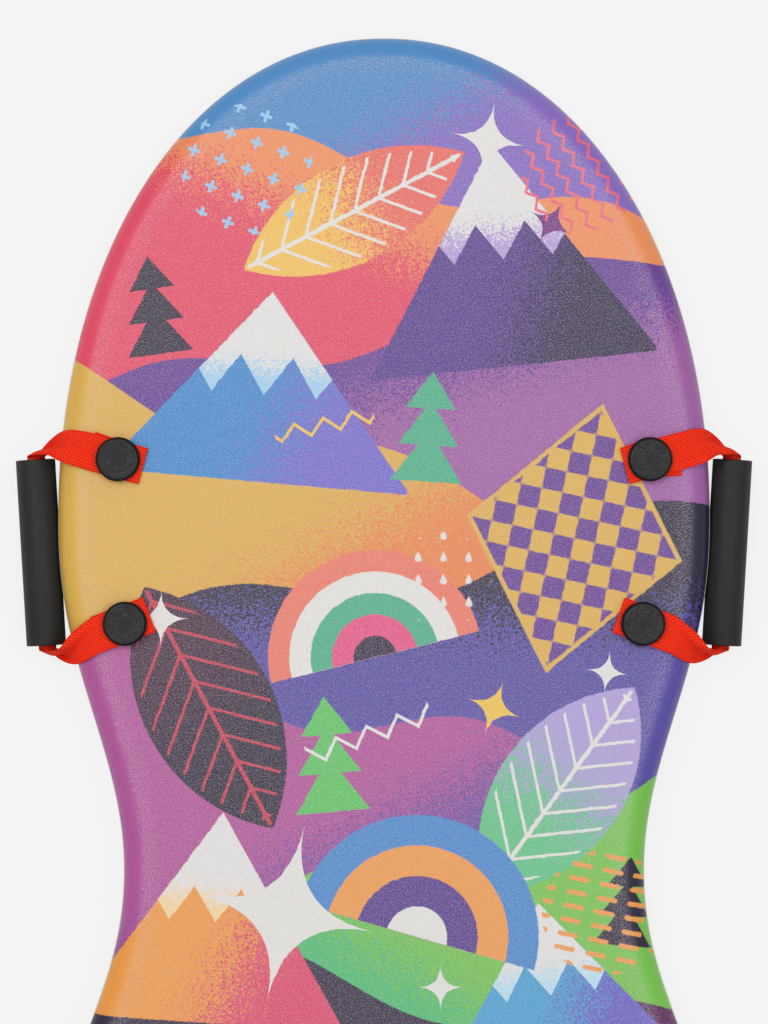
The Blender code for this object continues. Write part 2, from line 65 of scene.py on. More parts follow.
# %% Sizes of the board
LENGTH = 0.920
FRONT_WIDTH, WAIST_WIDTH, TAIL_WIDTH = 0.4408, 0.3522, 0.4400
NOSE_LENGTH, FRONT_FLANK, REAR_FLANK = 0.325, 0.236, 0.193
NOSE_FULLNESS, TAIL_FULLNESS = 2.08, 2.30
FRONT_LEAN, REAR_LEAN = 1.13, 1.10
THICKNESS = 0.038
SHOULDER_WIDTH, SHOULDER_HEIGHT = 0.018, 0.016
SIDE_TAPER, BASE_RADIUS = 0.003, 0.006
SEAM = 0.0075
SHEET, BASE_WALL = 0.0012, 0.0015
GAP = 0.0003
print("board:", LENGTH, "long,", FRONT_WIDTH, "wide,", THICKNESS, "thick")

# %% [markdown]
# The fittings are stacked on the board, so most of their heights follow from each other: two layers
# of webbing on the film, then the button, each a hair's breadth above the last.

# %% Sizes of the rivets, the webbing and the grips
WEBBING_WIDTH, WEBBING = 0.025, 0.0013
UNDERLAP_MID = THICKNESS + GAP + WEBBING / 2
STRAP_MID = UNDERLAP_MID + WEBBING + 0.0004
BUTTON_RADIUS, BUTTON_BOTTOM, BUTTON_TOP = 0.0149, STRAP_MID + WEBBING / 2 + GAP, 0.0468
FLANGE_RADIUS, FLANGE_BOTTOM, FLANGE_TOP = 0.0150, 0.0005, 0.0017
BARREL_RADIUS, BARREL_BORE = 0.0045, 0.0031
FRONT_REACH, REAR_REACH = 0.2850, 0.3954
GRIP_LENGTH, GRIP_RADIUS, GRIP_BORE = 0.126, 0.01335, 0.0070
GRIP_LEAN = math.radians(3.4)
SLIM_GAP = 0.00035
CURL_RADIUS = GRIP_BORE - SLIM_GAP - WEBBING / 2


def point(x, reach, z=0.0):
    """A point from its distance off the middle line, its reach from the nose, and its height."""
    return np.array([x, LENGTH / 2 - reach, z])


print("webbing's middle at", round(STRAP_MID, 5), "and button's top at", BUTTON_TOP)

# %% [markdown]
# ## Camera
# The photograph looks straight down on the board from well above, with the nose at the top.
# An orthographic camera would show no side of anything. The real picture shows a little of the
# buttons' sides, so this is a long lens 2.5 m up. A new camera looks down by itself, and so needs
# no turn. Its frame is 692 mm tall, which leaves the tail outside.

# %% Camera
WIDEST = THICKNESS - SHOULDER_HEIGHT
FRAME_HEIGHT, STAND = 0.6922, 2.5
FRAME_MIDDLE, FRAME_LEVEL = 0.1396, 0.024

camera_data = bpy.data.cameras.new("photo_camera")
camera_data.sensor_fit = "VERTICAL"
camera_data.sensor_height = 36.0
camera_data.lens = camera_data.sensor_height * STAND / FRAME_HEIGHT
camera_data.clip_end = 20.0
camera = bpy.data.objects.new("photo_camera", camera_data)
camera.location = (0.0, FRAME_MIDDLE, FRAME_LEVEL + STAND)
bpy.context.scene.collection.objects.link(camera)
bpy.context.scene.camera = camera
print("lens:", round(camera_data.lens, 1), "mm")

# %% [markdown]
# ## Light
# The picture has the even light of a product shot: a broad sky, and two soft boxes overhead.
# A sun lamp would draw hard shadows, and an even white sky alone would leave no form.
# So the sky is brightest straight up and falls off towards the horizon: the rounded shoulder of
# the board comes out deeper than its flat top. Colours come out about as they are written.


# %% Soft boxes
def soft_box(name, place, size, watts):
    """A square area lamp that looks at the middle of the board."""
    lamp = bpy.data.lights.new(name, "AREA")
    lamp.shape = "SQUARE"
    lamp.size = size
    lamp.energy = watts
    obj = bpy.data.objects.new(name, lamp)
    obj.location = place
    aim = Vector((0.0, 0.1, 0.0)) - Vector(place)
    obj.rotation_euler = aim.to_track_quat("-Z", "Y").to_euler()
    bpy.context.scene.collection.objects.link(obj)


soft_box("soft_box_left", (-1.0, 0.9, 2.4), 1.0, 18.0)
soft_box("soft_box_right", (1.2, 0.3, 2.3), 1.0, 10.0)
print("soft boxes:", [lamp.name for lamp in bpy.data.lights])

# %% [markdown]
# A world has no surface to stand on, only directions. Its Generated coordinates are the direction
# that a ray looks in, so their Z is 0 at the horizon and 1 straight up.

# %% The sky
HORIZON, ZENITH = 0.30, 0.85

world = bpy.data.worlds.new("studio")
bpy.context.scene.world = world
world.use_nodes = True
sky = world.node_tree
upward = sky.nodes.new("ShaderNodeSeparateXYZ")
brightness = sky.nodes.new("ShaderNodeMapRange")
brightness.inputs["To Min"].default_value = HORIZON
brightness.inputs["To Max"].default_value = ZENITH
sky.links.new(sky.nodes.new("ShaderNodeTexCoord").outputs["Generated"], upward.inputs[0])
sky.links.new(upward.outputs["Z"], brightness.inputs["Value"])
sky.links.new(brightness.outputs["Result"], sky.nodes["Background"].inputs["Strength"])
sky.nodes["Background"].inputs["Color"].default_value = (1.0, 1.0, 1.0, 1.0)
bpy.context.scene.view_settings.view_transform = "Standard"
print("sky strength from", HORIZON, "to", ZENITH)

# %% [markdown]
# ## Writing materials as formulas
# A pattern of many shapes is easier to write as a formula than to wire by hand.
# A Wire holds one output of a node tree. Adding or multiplying Wires places a Math node and
# returns its output as a new Wire, so ordinary Python expressions build the tree. The material
# stays an ordinary node tree, which can be opened and changed in Blender.


# %% Wires
class Wire:
    """One output socket. Each sign or method places one node behind it and returns the result."""

    def __init__(self, tree, socket):
        self.tree, self.socket = tree, socket

    def op(self, operation, *others):
        """A Math node fed by this Wire and the others, which may be Wires or numbers."""
        node = self.tree.nodes.new("ShaderNodeMath")
        node.operation = operation
        for slot, value in zip(node.inputs, (self, *others)):
            if isinstance(value, Wire):
                self.tree.links.new(value.socket, slot)
            else:
                slot.default_value = value
        return Wire(self.tree, node.outputs[0])

    def __add__(self, other):
        return self.op("ADD", other)

    def __sub__(self, other):
        return self.op("SUBTRACT", other)

    def __mul__(self, other):
        return self.op("MULTIPLY", other)

    def __truediv__(self, other):
        return self.op("DIVIDE", other)

    def __neg__(self):
        return self.op("MULTIPLY", -1.0)

    def size(self):
        return self.op("ABSOLUTE")

    def sin(self):
        return self.op("SINE")

    def lower_of(self, other):
        return self.op("MINIMUM", other)

    def higher_of(self, other):
        return self.op("MAXIMUM", other)

    def wrapped(self, pitch):
        """The value folded into one step of a repeat, from minus half a pitch to plus half."""
        return self.op("WRAP", pitch / 2, -pitch / 2)

    def ramp(self, low, high):
        """0 at low, 1 at high, straight between and held outside. low may be the higher number."""
        node = self.tree.nodes.new("ShaderNodeMapRange")
        node.inputs["From Min"].default_value = low
        node.inputs["From Max"].default_value = high
        self.tree.links.new(self.socket, node.inputs["Value"])
        return Wire(self.tree, node.outputs["Result"])


def length_of(u, v):
    """Distance from the origin of a local frame: the square root of u squared plus v squared."""
    return (u * u + v * v).op("SQRT")


# %% [markdown]
# The next helpers start a material, read its coordinates and read a noise.
# Colours are written as they look on screen and turned into the linear values that light uses.
# Positions are read in millimetres, because the grain of a film or a foam is easier to think of
# in millimetres than in metres.


# %% Starting a material
def linear(hex_colour):
    """A colour written as RRGGBB, as the linear values that shaders take."""
    parts = np.array([int(hex_colour[i : i + 2], 16) for i in (0, 2, 4)]) / 255
    parts = np.where(parts <= 0.04045, parts / 12.92, ((parts + 0.055) / 1.055) ** 2.4)
    return (*parts.tolist(), 1.0)


def new_material(name, colour, roughness, specular=0.5):
    """A material, its tree and its Principled shader."""
    material = bpy.data.materials.new(name)
    material.use_nodes = True
    shader = material.node_tree.nodes["Principled BSDF"]
    shader.inputs["Base Color"].default_value = linear(colour)
    shader.inputs["Roughness"].default_value = roughness
    shader.inputs["Specular IOR Level"].default_value = specular
    return material, material.node_tree, shader


def texture_space(tree, kind):
    """The three coordinates of a point, in millimetres for Object, as UV units for UV."""
    source = tree.nodes.new("ShaderNodeTexCoord").outputs[kind]
    if kind == "Object":
        scale = tree.nodes.new("ShaderNodeVectorMath")
        scale.operation = "SCALE"
        scale.inputs["Scale"].default_value = 1000.0
        tree.links.new(source, scale.inputs[0])
        source = scale.outputs[0]
    split = tree.nodes.new("ShaderNodeSeparateXYZ")
    tree.links.new(source, split.inputs[0])
    return source, [Wire(tree, split.outputs[i]) for i in range(3)]


def noise(tree, vector, scale, detail=2.0, roughness=0.5):
    """A noise value from 0 to 1 whose grains are about 1 / scale across."""
    node = tree.nodes.new("ShaderNodeTexNoise")
    node.inputs["Scale"].default_value = scale
    node.inputs["Detail"].default_value = detail
    node.inputs["Roughness"].default_value = roughness
    tree.links.new(vector, node.inputs["Vector"])
    return Wire(tree, node.outputs["Fac"])


print("a mid grey in linear light:", round(linear("808080")[0], 3))

# %% [markdown]
# A finish is built up as a painter does it: a ground colour first, then one colour over another
# where a mask says so. The relief that is too fine to model bends the shading only, as a bump.

# %% Laying colours
MIX_UNDER, MIX_OVER, MIX_RESULT = 6, 7, 2


def laid_over(tree, under, over, mask):
    """The colour over laid on the colour under where the mask is 1. Either may be a hex colour."""
    node = tree.nodes.new("ShaderNodeMix")
    node.data_type = "RGBA"
    tree.links.new(mask.socket, node.inputs["Factor"])
    for slot, colour in ((node.inputs[MIX_UNDER], under), (node.inputs[MIX_OVER], over)):
        if isinstance(colour, str):
            slot.default_value = linear(colour)
        else:
            tree.links.new(colour, slot)
    return node.outputs[MIX_RESULT]


def bumped(tree, shader, height, depth):
    """Bends the shading by a height from 0 to 1 that stands for a relief of depth metres."""
    bump = tree.nodes.new("ShaderNodeBump")
    bump.inputs["Strength"].default_value = 1.0
    bump.inputs["Distance"].default_value = depth
    tree.links.new(height.socket, bump.inputs["Height"])
    tree.links.new(bump.outputs["Normal"], shader.inputs["Normal"])


def painted(tree, shader, colour, roughness=None):
    """Gives the shader its pattern of colour, and of roughness where that varies."""
    tree.links.new(colour, shader.inputs["Base Color"])
    if roughness is not None:
        tree.links.new(roughness.socket, shader.inputs["Roughness"])


# %% [markdown]
# ## Surfaces from numpy grids
# Each new piece is a grid of points worked out in one go, then handed to Blender as a mesh.
# Curves with a bevel, or a cube shaped by modifiers, could make some of them too. A grid is chosen
# because every point then follows a formula, and because its rows carry clean UV maps.
# A grid may close on itself in either direction, and its first and last rows may get a flat cap.

# %% From a grid to a mesh
SHARP_ANGLE = math.radians(40.0)


def grid_faces(rows, columns, close_rows, close_columns):
    """Corner numbers of the quads between neighbouring rows and columns of a grid."""
    row = np.arange(rows if close_rows else rows - 1)[:, None]
    column = np.arange(columns if close_columns else columns - 1)[None, :]
    next_row, next_column = (row + 1) % rows, (column + 1) % columns
    corners = [
        row * columns + column,
        row * columns + next_column,
        next_row * columns + next_column,
        next_row * columns + column,
    ]
    return np.stack(corners, axis=-1).reshape(-1, 4)


def capped_faces(rows, around):
    """Faces of stacked rings: the quads between them, and a flat face on the first and the last."""
    caps = [list(range(around)), list(range((rows - 1) * around, rows * around))]
    return grid_faces(rows, around, False, True).tolist() + caps


def add_mesh(name, points, faces, material, body, uv=None):
    """A smooth object from points and faces, whose normals point outwards, riding on a body."""
    mesh = bpy.data.meshes.new(name)
    mesh.from_pydata(points.reshape(-1, 3).tolist(), [], faces)
    if uv is not None:
        layer = mesh.uv_layers.new(name="places")
        corner = np.empty(len(mesh.loops), np.int32)
        mesh.loops.foreach_get("vertex_index", corner)
        layer.data.foreach_set("uv", uv.reshape(-1, 2)[corner].ravel())
    work = bmesh.new()
    work.from_mesh(mesh)
    bmesh.ops.recalc_face_normals(work, faces=work.faces)
    work.to_mesh(mesh)
    work.free()
    mesh.materials.append(material)
    mesh.shade_smooth()
    mesh.set_sharp_from_angle(angle=SHARP_ANGLE)
    obj = bpy.data.objects.new(name, mesh)
    bpy.context.scene.collection.objects.link(obj)
    if body is not None:
        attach(obj, body)
    print(f"{name}: {len(mesh.vertices)} points, {len(mesh.polygons)} faces")
    return obj


# %% [markdown]
# ## The board's outline and section
# Seen from above the board is an hourglass: a superelliptic nose, two flanks that lean in and out
# like a stretched cosine, and a fuller superelliptic tail. It could be drawn as a Bezier curve, but
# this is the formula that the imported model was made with, sampled finer, so the two agree.


# %% Outline
def half_width(reach):
    """Half the width at a reach: superellipse ends joined by two leaning cosine flanks."""
    front, waist, tail = FRONT_WIDTH / 2, WAIST_WIDTH / 2, TAIL_WIDTH / 2
    waist_reach = NOSE_LENGTH + FRONT_FLANK
    tail_reach = waist_reach + REAR_FLANK
    off_nose = np.clip((NOSE_LENGTH - reach) / NOSE_LENGTH, 0.0, 1.0)
    nose = front * (1 - off_nose**NOSE_FULLNESS) ** (1 / NOSE_FULLNESS)
    along = np.clip((reach - NOSE_LENGTH) / FRONT_FLANK, 0.0, 1.0) ** FRONT_LEAN
    first = (front + waist) / 2 + (front - waist) / 2 * np.cos(math.pi * along)
    along = np.clip((reach - waist_reach) / REAR_FLANK, 0.0, 1.0) ** REAR_LEAN
    second = (waist + tail) / 2 + (waist - tail) / 2 * np.cos(math.pi * along)
    off_tail = np.clip((reach - tail_reach) / (LENGTH - tail_reach), 0.0, 1.0)
    end = tail * (1 - off_tail**TAIL_FULLNESS) ** (1 / TAIL_FULLNESS)
    inner = np.where(reach < waist_reach, first, second)
    return np.where(reach < NOSE_LENGTH, nose, np.where(reach > tail_reach, end, inner))


def outline(end_steps=90, flank_steps=50):
    """The closed outline as points and outward normals, down the right side and up the left."""
    tail_reach = NOSE_LENGTH + FRONT_FLANK + REAR_FLANK
    turn = np.linspace(0.0, math.pi / 2, end_steps + 1)
    nose = NOSE_LENGTH * (1 - np.cos(turn) ** (2 / NOSE_FULLNESS))
    tail = LENGTH - (LENGTH - tail_reach) * (1 - np.sin(turn) ** (2 / TAIL_FULLNESS))
    flank = np.linspace(NOSE_LENGTH, tail_reach, 2 * flank_steps + 1)[1:]
    reach = np.concatenate([nose, flank, tail[1:]])
    width = half_width(reach)
    width[0] = width[-1] = 0.0
    right = np.stack([width, LENGTH / 2 - reach], axis=1)
    ring = np.concatenate([right, right[-2:0:-1] * [-1.0, 1.0]])
    along = np.roll(ring, -1, axis=0) - np.roll(ring, 1, axis=0)
    normal = np.stack([-along[:, 1], along[:, 0]], axis=1)
    return ring, normal / np.linalg.norm(normal, axis=1)[:, None]


RING, RING_NORMAL = outline()
print("outline:", len(RING), "points, width", round(2 * RING[:, 0].max(), 4))

# %% [markdown]
# The board's section is a quarter ellipse, the soft shoulder, over a slightly tapered side with a
# small round at the base. Each of its points carries an inward normal. With it, a wall of any
# thickness is the same sweep, drawn a little further in.


# %% Section
def section():
    """Rows of inset, height and inward normal: base edge, then side and shoulder up to the top."""
    turn = np.linspace(0.0, math.pi / 2, 9)
    base = np.stack(
        [
            SIDE_TAPER + BASE_RADIUS * (1 - np.sin(turn)),
            BASE_RADIUS * (1 - np.cos(turn)),
            np.sin(turn),
            np.cos(turn),
        ],
        axis=1,
    )
    high = np.linspace(SEAM, WIDEST, 4)
    taper = SIDE_TAPER * (WIDEST - high) / (WIDEST - BASE_RADIUS)
    side = np.stack([taper, high, 1 + 0 * high, 0 * high], axis=1)
    turn = np.linspace(0.0, math.pi / 2, 19)[1:]
    slope = np.stack([np.cos(turn) / SHOULDER_WIDTH, -np.sin(turn) / SHOULDER_HEIGHT], axis=1)
    slope /= np.linalg.norm(slope, axis=1)[:, None]
    shoulder = np.stack(
        [SHOULDER_WIDTH * (1 - np.cos(turn)), WIDEST + SHOULDER_HEIGHT * np.sin(turn)], axis=1
    )
    return base, np.concatenate([side, np.hstack([shoulder, slope])])


def swept(rows, depth=0.0):
    """The outline drawn in by each row's inset, then moved in by depth along the row's normal."""
    inset = (rows[:, 0] + depth * rows[:, 2])[:, None, None]
    height = (rows[:, 1] + depth * rows[:, 3])[:, None, None]
    level = np.broadcast_to(height, (len(rows), len(RING), 1))
    return np.concatenate([RING[None] - inset * RING_NORMAL[None], level], axis=-1)


def capped_stack(name, rows, material, uv=None):
    """A closed shell of the board from stacked rings."""
    return add_mesh(name, rows, capped_faces(*rows.shape[:2]), material, "board", uv)


BASE_ROWS, TOP_ROWS = section()
print("section rows:", len(BASE_ROWS), "and", len(TOP_ROWS))

# %% [markdown]
# ## The printed film
# The real film is a thin glossy plastic with a fine embossed grain. The grain catches the light as
# pale specks, most of all over dark ink. Over the shoulder the film is stretched smooth.
# The print is a generic winter pattern of hills, peaks and leaves. A picture could be wrapped on
# the film, but a pattern of formulas needs no file and stays sharp from close by. Each shape is a
# distance: below zero inside, above zero outside. A narrow ramp over the edge makes it a mask.
# Two colours meet in a spray of specks, as in a print made with a sponge.

# %% The sheet
WOBBLE = 1.6


class Sheet:
    """The flat print: x to the right, s from the nose, in millimetres, and what was laid so far."""

    def __init__(self, tree):
        self.tree = tree
        self.vector, (x, y, self.z) = texture_space(tree, "Object")
        wobble = noise(tree, self.vector, 0.25, 3.0) - 0.5
        self.x = x + wobble * WOBBLE
        self.s = -y + LENGTH / 2 * 1000 + wobble * WOBBLE
        self.grain = noise(tree, self.vector, 0.75, 2.0, 0.7)
        self.flecks = noise(tree, self.vector, 0.42, 3.0, 0.65)
        self.colour = "7A4E9E"

    def frame(self, x, s, turn=0.0):
        """Local coordinates about a place, turned clockwise by an angle in degrees."""
        angle = math.radians(turn)
        across, down = self.x - x, self.s - s
        if turn == 0.0:
            return across, down
        u = across * math.cos(angle) + down * math.sin(angle)
        v = down * math.cos(angle) - across * math.sin(angle)
        return u, v

    def lay(self, distance, colour, edge=0.35):
        """Lays a colour where the distance is below zero."""
        self.colour = laid_over(self.tree, self.colour, colour, distance.ramp(edge, -edge))

    def sprayed(self, first, second, value, low, high):
        """A colour that changes from first to second over a value, broken up into paint specks."""
        share = value.ramp(low, high)
        specks = share + (self.grain - 0.5) * 1.9 * (share * (-share + 1.0) * 4.0).ramp(0.0, 0.6)
        return laid_over(self.tree, first, second, specks.ramp(0.42, 0.58))


# %% [markdown]
# These are the shapes of the print, each about its own middle, with u to its right and v down.
# The higher of two distances is what both shapes share, and the lower is both together.


# %% Distances of simple shapes
def disc(u, v, radius):
    """The distance from the middle, less the radius."""
    return length_of(u, v) - radius


def bar(u, v, half_length, half_height, rounding=1.5):
    """A rounded bar: distance to a smaller box, less the rounding."""
    over_u = (u.size() - (half_length - rounding)).higher_of(0.0)
    over_v = (v.size() - (half_height - rounding)).higher_of(0.0)
    return length_of(over_u, over_v) - rounding


def peak(u, v, half_base, height):
    """A triangle on its base, tip upwards at v = -height: its two slopes and its base."""
    lean = half_base / height
    slope = (u.size() - (v + height) * lean) * (1 / math.hypot(1.0, lean))
    return slope.op("SMOOTH_MAX", v, 6.0)


def leaf(u, v, half_length, half_width_mm):
    """The lens where two equal circles overlap."""
    radius = (half_length**2 + half_width_mm**2) / (2 * half_width_mm)
    return length_of(u, v.size() + (radius - half_width_mm)) - radius


def twinkle(u, v, reach):
    """A four-pointed star with hollow sides: the sum of the square roots of u and v."""
    roots = u.size().op("SQRT") + v.size().op("SQRT")
    return roots * roots - reach


def cross(u, v, reach, half_width_mm):
    """A plus mark: the nearer of two bars."""
    return bar(u, v, reach, half_width_mm, 0.8).lower_of(bar(u, v, half_width_mm, reach, 0.8))


def zigzag(u, v, pitch, swing, half_width_mm):
    """A line that runs up and down in straight strokes."""
    teeth = u.wrapped(pitch).size() * (2 * swing / pitch * 2) - swing
    return (v - teeth).size() - half_width_mm


def pine(u, v, half_base, height, tiers):
    """A tree of stacked triangles: its width grows from the top of each tier to its foot."""
    tier = height / tiers
    down = v + height
    within = down.op("MODULO", tier)
    width = within * (0.55 * half_base / tier) + down * (0.45 * half_base / height)
    return (u.size() - width).higher_of(v).higher_of(-down)


# %% [markdown]
# The hills lie across the board like snow drifts. Each drift is all that lies tail-ward of a
# leaning wave. Laid one after another from nose to tail, they leave bands of colour.

# %% Hills
WHITE_INK, NIGHT_INK, PLUM_INK, JADE_INK = "E9E7E3", "281F3A", "2E2040", "4CB48C"


def drift(sheet, s, lean, swing, wave, shift):
    """Distance to the far side of a wave line across the board: below zero tail-ward of it."""
    crest = (sheet.x * (2 * math.pi / wave) + shift).sin() * swing
    return (crest + s + sheet.x * lean) - sheet.s


def lay_hills(sheet):
    """Nine drifts from nose to tail, each sprayed from one ink to another."""
    x, s = sheet.x, sheet.s
    top = sheet.sprayed("4E8FCB", "8A6CC4", s + x * 0.5, 20.0, 120.0)
    sheet.lay(drift(sheet, -60.0, 0.0, 0.0, 400.0, 0.0), top)
    coral = sheet.sprayed("F4955A", "E84A66", s - x * 0.4, 90.0, 190.0)
    sheet.lay(drift(sheet, 92.0, 0.22, 13.0, 210.0, 0.4), coral)
    violet = sheet.sprayed("6A4199", "A562A8", s + x * 0.3, 190.0, 300.0)
    sheet.lay(drift(sheet, 196.0, -0.26, 16.0, 260.0, 2.2), violet)
    ochre = sheet.sprayed("E2B44F", "F08A4B", x * 0.6 + s, 250.0, 400.0)
    sheet.lay(drift(sheet, 292.0, 0.30, 15.0, 240.0, 4.6), ochre)
    night = sheet.sprayed(NIGHT_INK, "5A50A8", s + sheet.flecks * 190.0, 455.0, 520.0)
    sheet.lay(drift(sheet, 366.0, -0.20, 18.0, 280.0, 1.0), night)
    magenta = sheet.sprayed("B7579D", "7650A6", s + x * 0.5, 470.0, 590.0)
    sheet.lay(drift(sheet, 462.0, 0.24, 17.0, 230.0, 3.0), magenta)
    green = sheet.sprayed("7CC84E", "4CC07C", s - x * 0.6, 560.0, 680.0)
    sheet.lay(drift(sheet, 560.0, -0.30, 15.0, 250.0, 5.3), green)
    plum = sheet.sprayed(PLUM_INK, "7A3E74", s + x * 0.3, 650.0, 760.0)
    sheet.lay(drift(sheet, 640.0, 0.16, 18.0, 260.0, 0.6), plum)
    last = sheet.sprayed("EE6A5C", "F0A04E", s - x * 0.3, 760.0, 900.0)
    sheet.lay(drift(sheet, 752.0, -0.18, 15.0, 240.0, 2.7), last)


# %% [markdown]
# On the hills stand the large shapes, from 140 to 210 mm across. The peaks come first. A peak is a
# triangle, and its snow is what lies both in the triangle and above a zigzag line.


# %% Peaks
def lay_peak(sheet, x, s, half_base, height, colours, turn=0.0, shift=0.0):
    """A peak in two sprayed colours, with snow down to a zigzag line below its tip."""
    u, v = sheet.frame(x, s, turn)
    shape = peak(u, v, half_base, height)
    spread = half_base * 0.6
    sheet.lay(shape, sheet.sprayed(colours[0], colours[1], u + v * 0.4 + shift, -spread, spread))
    teeth = (u.wrapped(half_base * 0.34).size() - half_base * 0.085) * 1.5 + v + height * 0.56
    snow = sheet.sprayed("E9E7E5", colours[2], v, -height * 0.75, -height * 0.45)
    sheet.lay(shape.higher_of(teeth), snow)


def lay_peaks(sheet):
    """Each peak by its place, half its base, its height, its two inks and its snow's shade."""
    lay_peak(sheet, 88.0, 222.0, 98.0, 150.0, ("5B3B92", "30234C", "B9A2DC"), -6.0)
    lay_peak(sheet, -86.0, 300.0, 104.0, 128.0, ("3F8FD0", "7A6FD0", "A9D4F2"), 5.0)
    lay_peak(sheet, -118.0, 664.0, 92.0, 142.0, ("F4A043", "E14A72", "FBD9A0"), 4.0)
    lay_peak(sheet, 120.0, 700.0, 88.0, 118.0, ("4AA6D8", "6E62C8", "BFE3F4"), -8.0)


# %% [markdown]
# A leaf is where two circles overlap, with a middle rib and slanting ones. An arch is a set of
# discs, each smaller than the last and cut off at its foot.


# %% Leaves, arches and checked diamonds
def lay_leaf(sheet, x, s, half_length, half_width_mm, turn, colours, vein):
    """A leaf in two sprayed colours, with ribs in a third."""
    u, v = sheet.frame(x, s, turn)
    shape = leaf(u, v, half_length, half_width_mm)
    spread = half_length * 0.7
    sheet.lay(shape, sheet.sprayed(colours[0], colours[1], u, -spread, spread))
    ribs = ((u - v.size() * 0.9).wrapped(half_length * 0.22).size() - 1.3).higher_of(shape + 4.0)
    sheet.lay(ribs, vein)
    sheet.lay((v.size() - 1.4).higher_of(shape + 2.0), vein)


def lay_arches(sheet, x, s, radius, turn, colours):
    """A fan of half rings on a straight foot, from the outside in."""
    u, v = sheet.frame(x, s, turn)
    away = length_of(u, v)
    for step, colour in enumerate(colours):
        outer = radius * (1 - step / len(colours))
        sheet.lay((away - outer).higher_of(v), colour)


def lay_diamond(sheet, x, s, reach, turn, first, second):
    """A diamond filled with checks."""
    u, v = sheet.frame(x, s, turn)
    shape = (u.size() + v.size() * 0.8 - reach) * 0.78
    sheet.lay(shape, first)
    pitch = reach / 2.6
    checks = (u * (math.pi / pitch * 2)).sin() * (v * (math.pi / pitch * 2)).sin()
    sheet.lay((checks * 6.0).higher_of(shape + 3.0), second)


def lay_large_shapes(sheet):
    """The leaves, arches and checked diamonds, each by its place, its size and its turn."""
    lay_leaf(sheet, -20.0, 118.0, 84.0, 34.0, -28.0, ("F7C65A", "EE6F63"), WHITE_INK)
    lay_diamond(sheet, 128.0, 338.0, 74.0, 12.0, "E3B552", "6B3F98")
    lay_arches(sheet, -6.0, 418.0, 72.0, -14.0, ("F0806A", WHITE_INK, JADE_INK, "E9578A", PLUM_INK))
    lay_leaf(sheet, -118.0, 452.0, 92.0, 44.0, 62.0, ("44223E", NIGHT_INK), "C93C52")
    lay_leaf(sheet, 118.0, 508.0, 86.0, 42.0, -54.0, ("66C98C", "B6A4DE"), WHITE_INK)
    lay_arches(sheet, 22.0, 606.0, 82.0, 16.0, ("4A8ED0", "F3A24C", "5B3B92", WHITE_INK))
    lay_diamond(sheet, -20.0, 800.0, 80.0, -10.0, JADE_INK, NIGHT_INK)


# %% [markdown]
# Pines and stars stand on the large shapes and between them. Fields of small marks come from one
# mark that repeats, as the coordinates are wrapped, and a disc that says where the field ends.


# %% Pines, stars and small marks
def lay_pines(sheet):
    """Each pine by its place, half its base, its height, its turn and its ink."""
    for x, s, base, height, turn, colour in (
        (-150.0, 214.0, 22.0, 66.0, -8.0, NIGHT_INK),
        (28.0, 300.0, 24.0, 74.0, 4.0, JADE_INK),
        (-34.0, 522.0, 25.0, 78.0, -5.0, "63C867"),
        (160.0, 612.0, 20.0, 60.0, 6.0, NIGHT_INK),
    ):
        u, v = sheet.frame(x, s, turn)
        sheet.lay(pine(u, v, base, height, 3), colour)


def lay_stars(sheet):
    """Each star by its place, its reach, its turn and its ink."""
    for x, s, reach, turn, colour in (
        (70.0, 70.0, 26.0, 10.0, WHITE_INK),
        (-70.0, 206.0, 15.0, 0.0, WHITE_INK),
        (-66.0, 590.0, 62.0, 12.0, WHITE_INK),
        (74.0, 452.0, 20.0, 20.0, "F4C84E"),
        (-150.0, 392.0, 20.0, 0.0, WHITE_INK),
        (150.0, 428.0, 15.0, 8.0, WHITE_INK),
        (38.0, 640.0, 16.0, 0.0, WHITE_INK),
        (112.0, 126.0, 17.0, 30.0, "7A2F86"),
    ):
        u, v = sheet.frame(x, s, turn)
        sheet.lay(twinkle(u, v, reach), colour)


def lay_marks(sheet):
    """Fields of small repeated marks, each kept inside an area."""
    u, v = sheet.frame(-92.0, 90.0, 20.0)
    crosses = cross(u.wrapped(19.0), v.wrapped(19.0), 4.2, 1.1)
    sheet.lay(crosses.higher_of(disc(u, v, 44.0)), "9CD0F2")
    u, v = sheet.frame(132.0, 92.0, 60.0)
    sheet.lay(zigzag(u, v.wrapped(12.0), 13.0, 2.6, 1.2).higher_of(disc(u, v, 40.0)), "F06C7E")
    u, v = sheet.frame(40.0, 366.0, 0.0)
    drops = peak(u.wrapped(17.0), v.wrapped(15.0) - 3.0, 3.6, 7.0)
    sheet.lay(drops.higher_of(disc(u, v, 32.0)), WHITE_INK)
    u, v = sheet.frame(148.0, 590.0, 12.0)
    sheet.lay(bar(u.wrapped(21.0), v.wrapped(9.5), 7.0, 1.6).higher_of(disc(u, v, 42.0)), "F3A24C")
    u, v = sheet.frame(-10.0, 470.0, -20.0)
    sheet.lay(zigzag(u, v, 22.0, 6.0, 1.5).higher_of(u.size() - 44.0), WHITE_INK)
    u, v = sheet.frame(-40.0, 262.0, -12.0)
    sheet.lay(zigzag(u, v, 20.0, 5.0, 1.4).higher_of(u.size() - 34.0), "F4C84E")


# %% [markdown]
# Last come the things that lie over all inks alike: painted highlights for the glints of the
# embossing, densest where the flat top starts to round over, and painted shade in its hollows; the
# smooth shoulder outside it, painted a little darker as shade; and the unprinted pale margin low on
# the side.
# The film's UV map holds each point's inset from the edge in millimetres, so these follow the
# outline.

# %% The film's material
SMOOTH_EDGE, GRAINED_EDGE = 11.0, 16.0
CREST_FULL, CREST_GONE = 19.0, 27.0
MARGIN_LOW, MARGIN_TOP = 26.3, 26.9


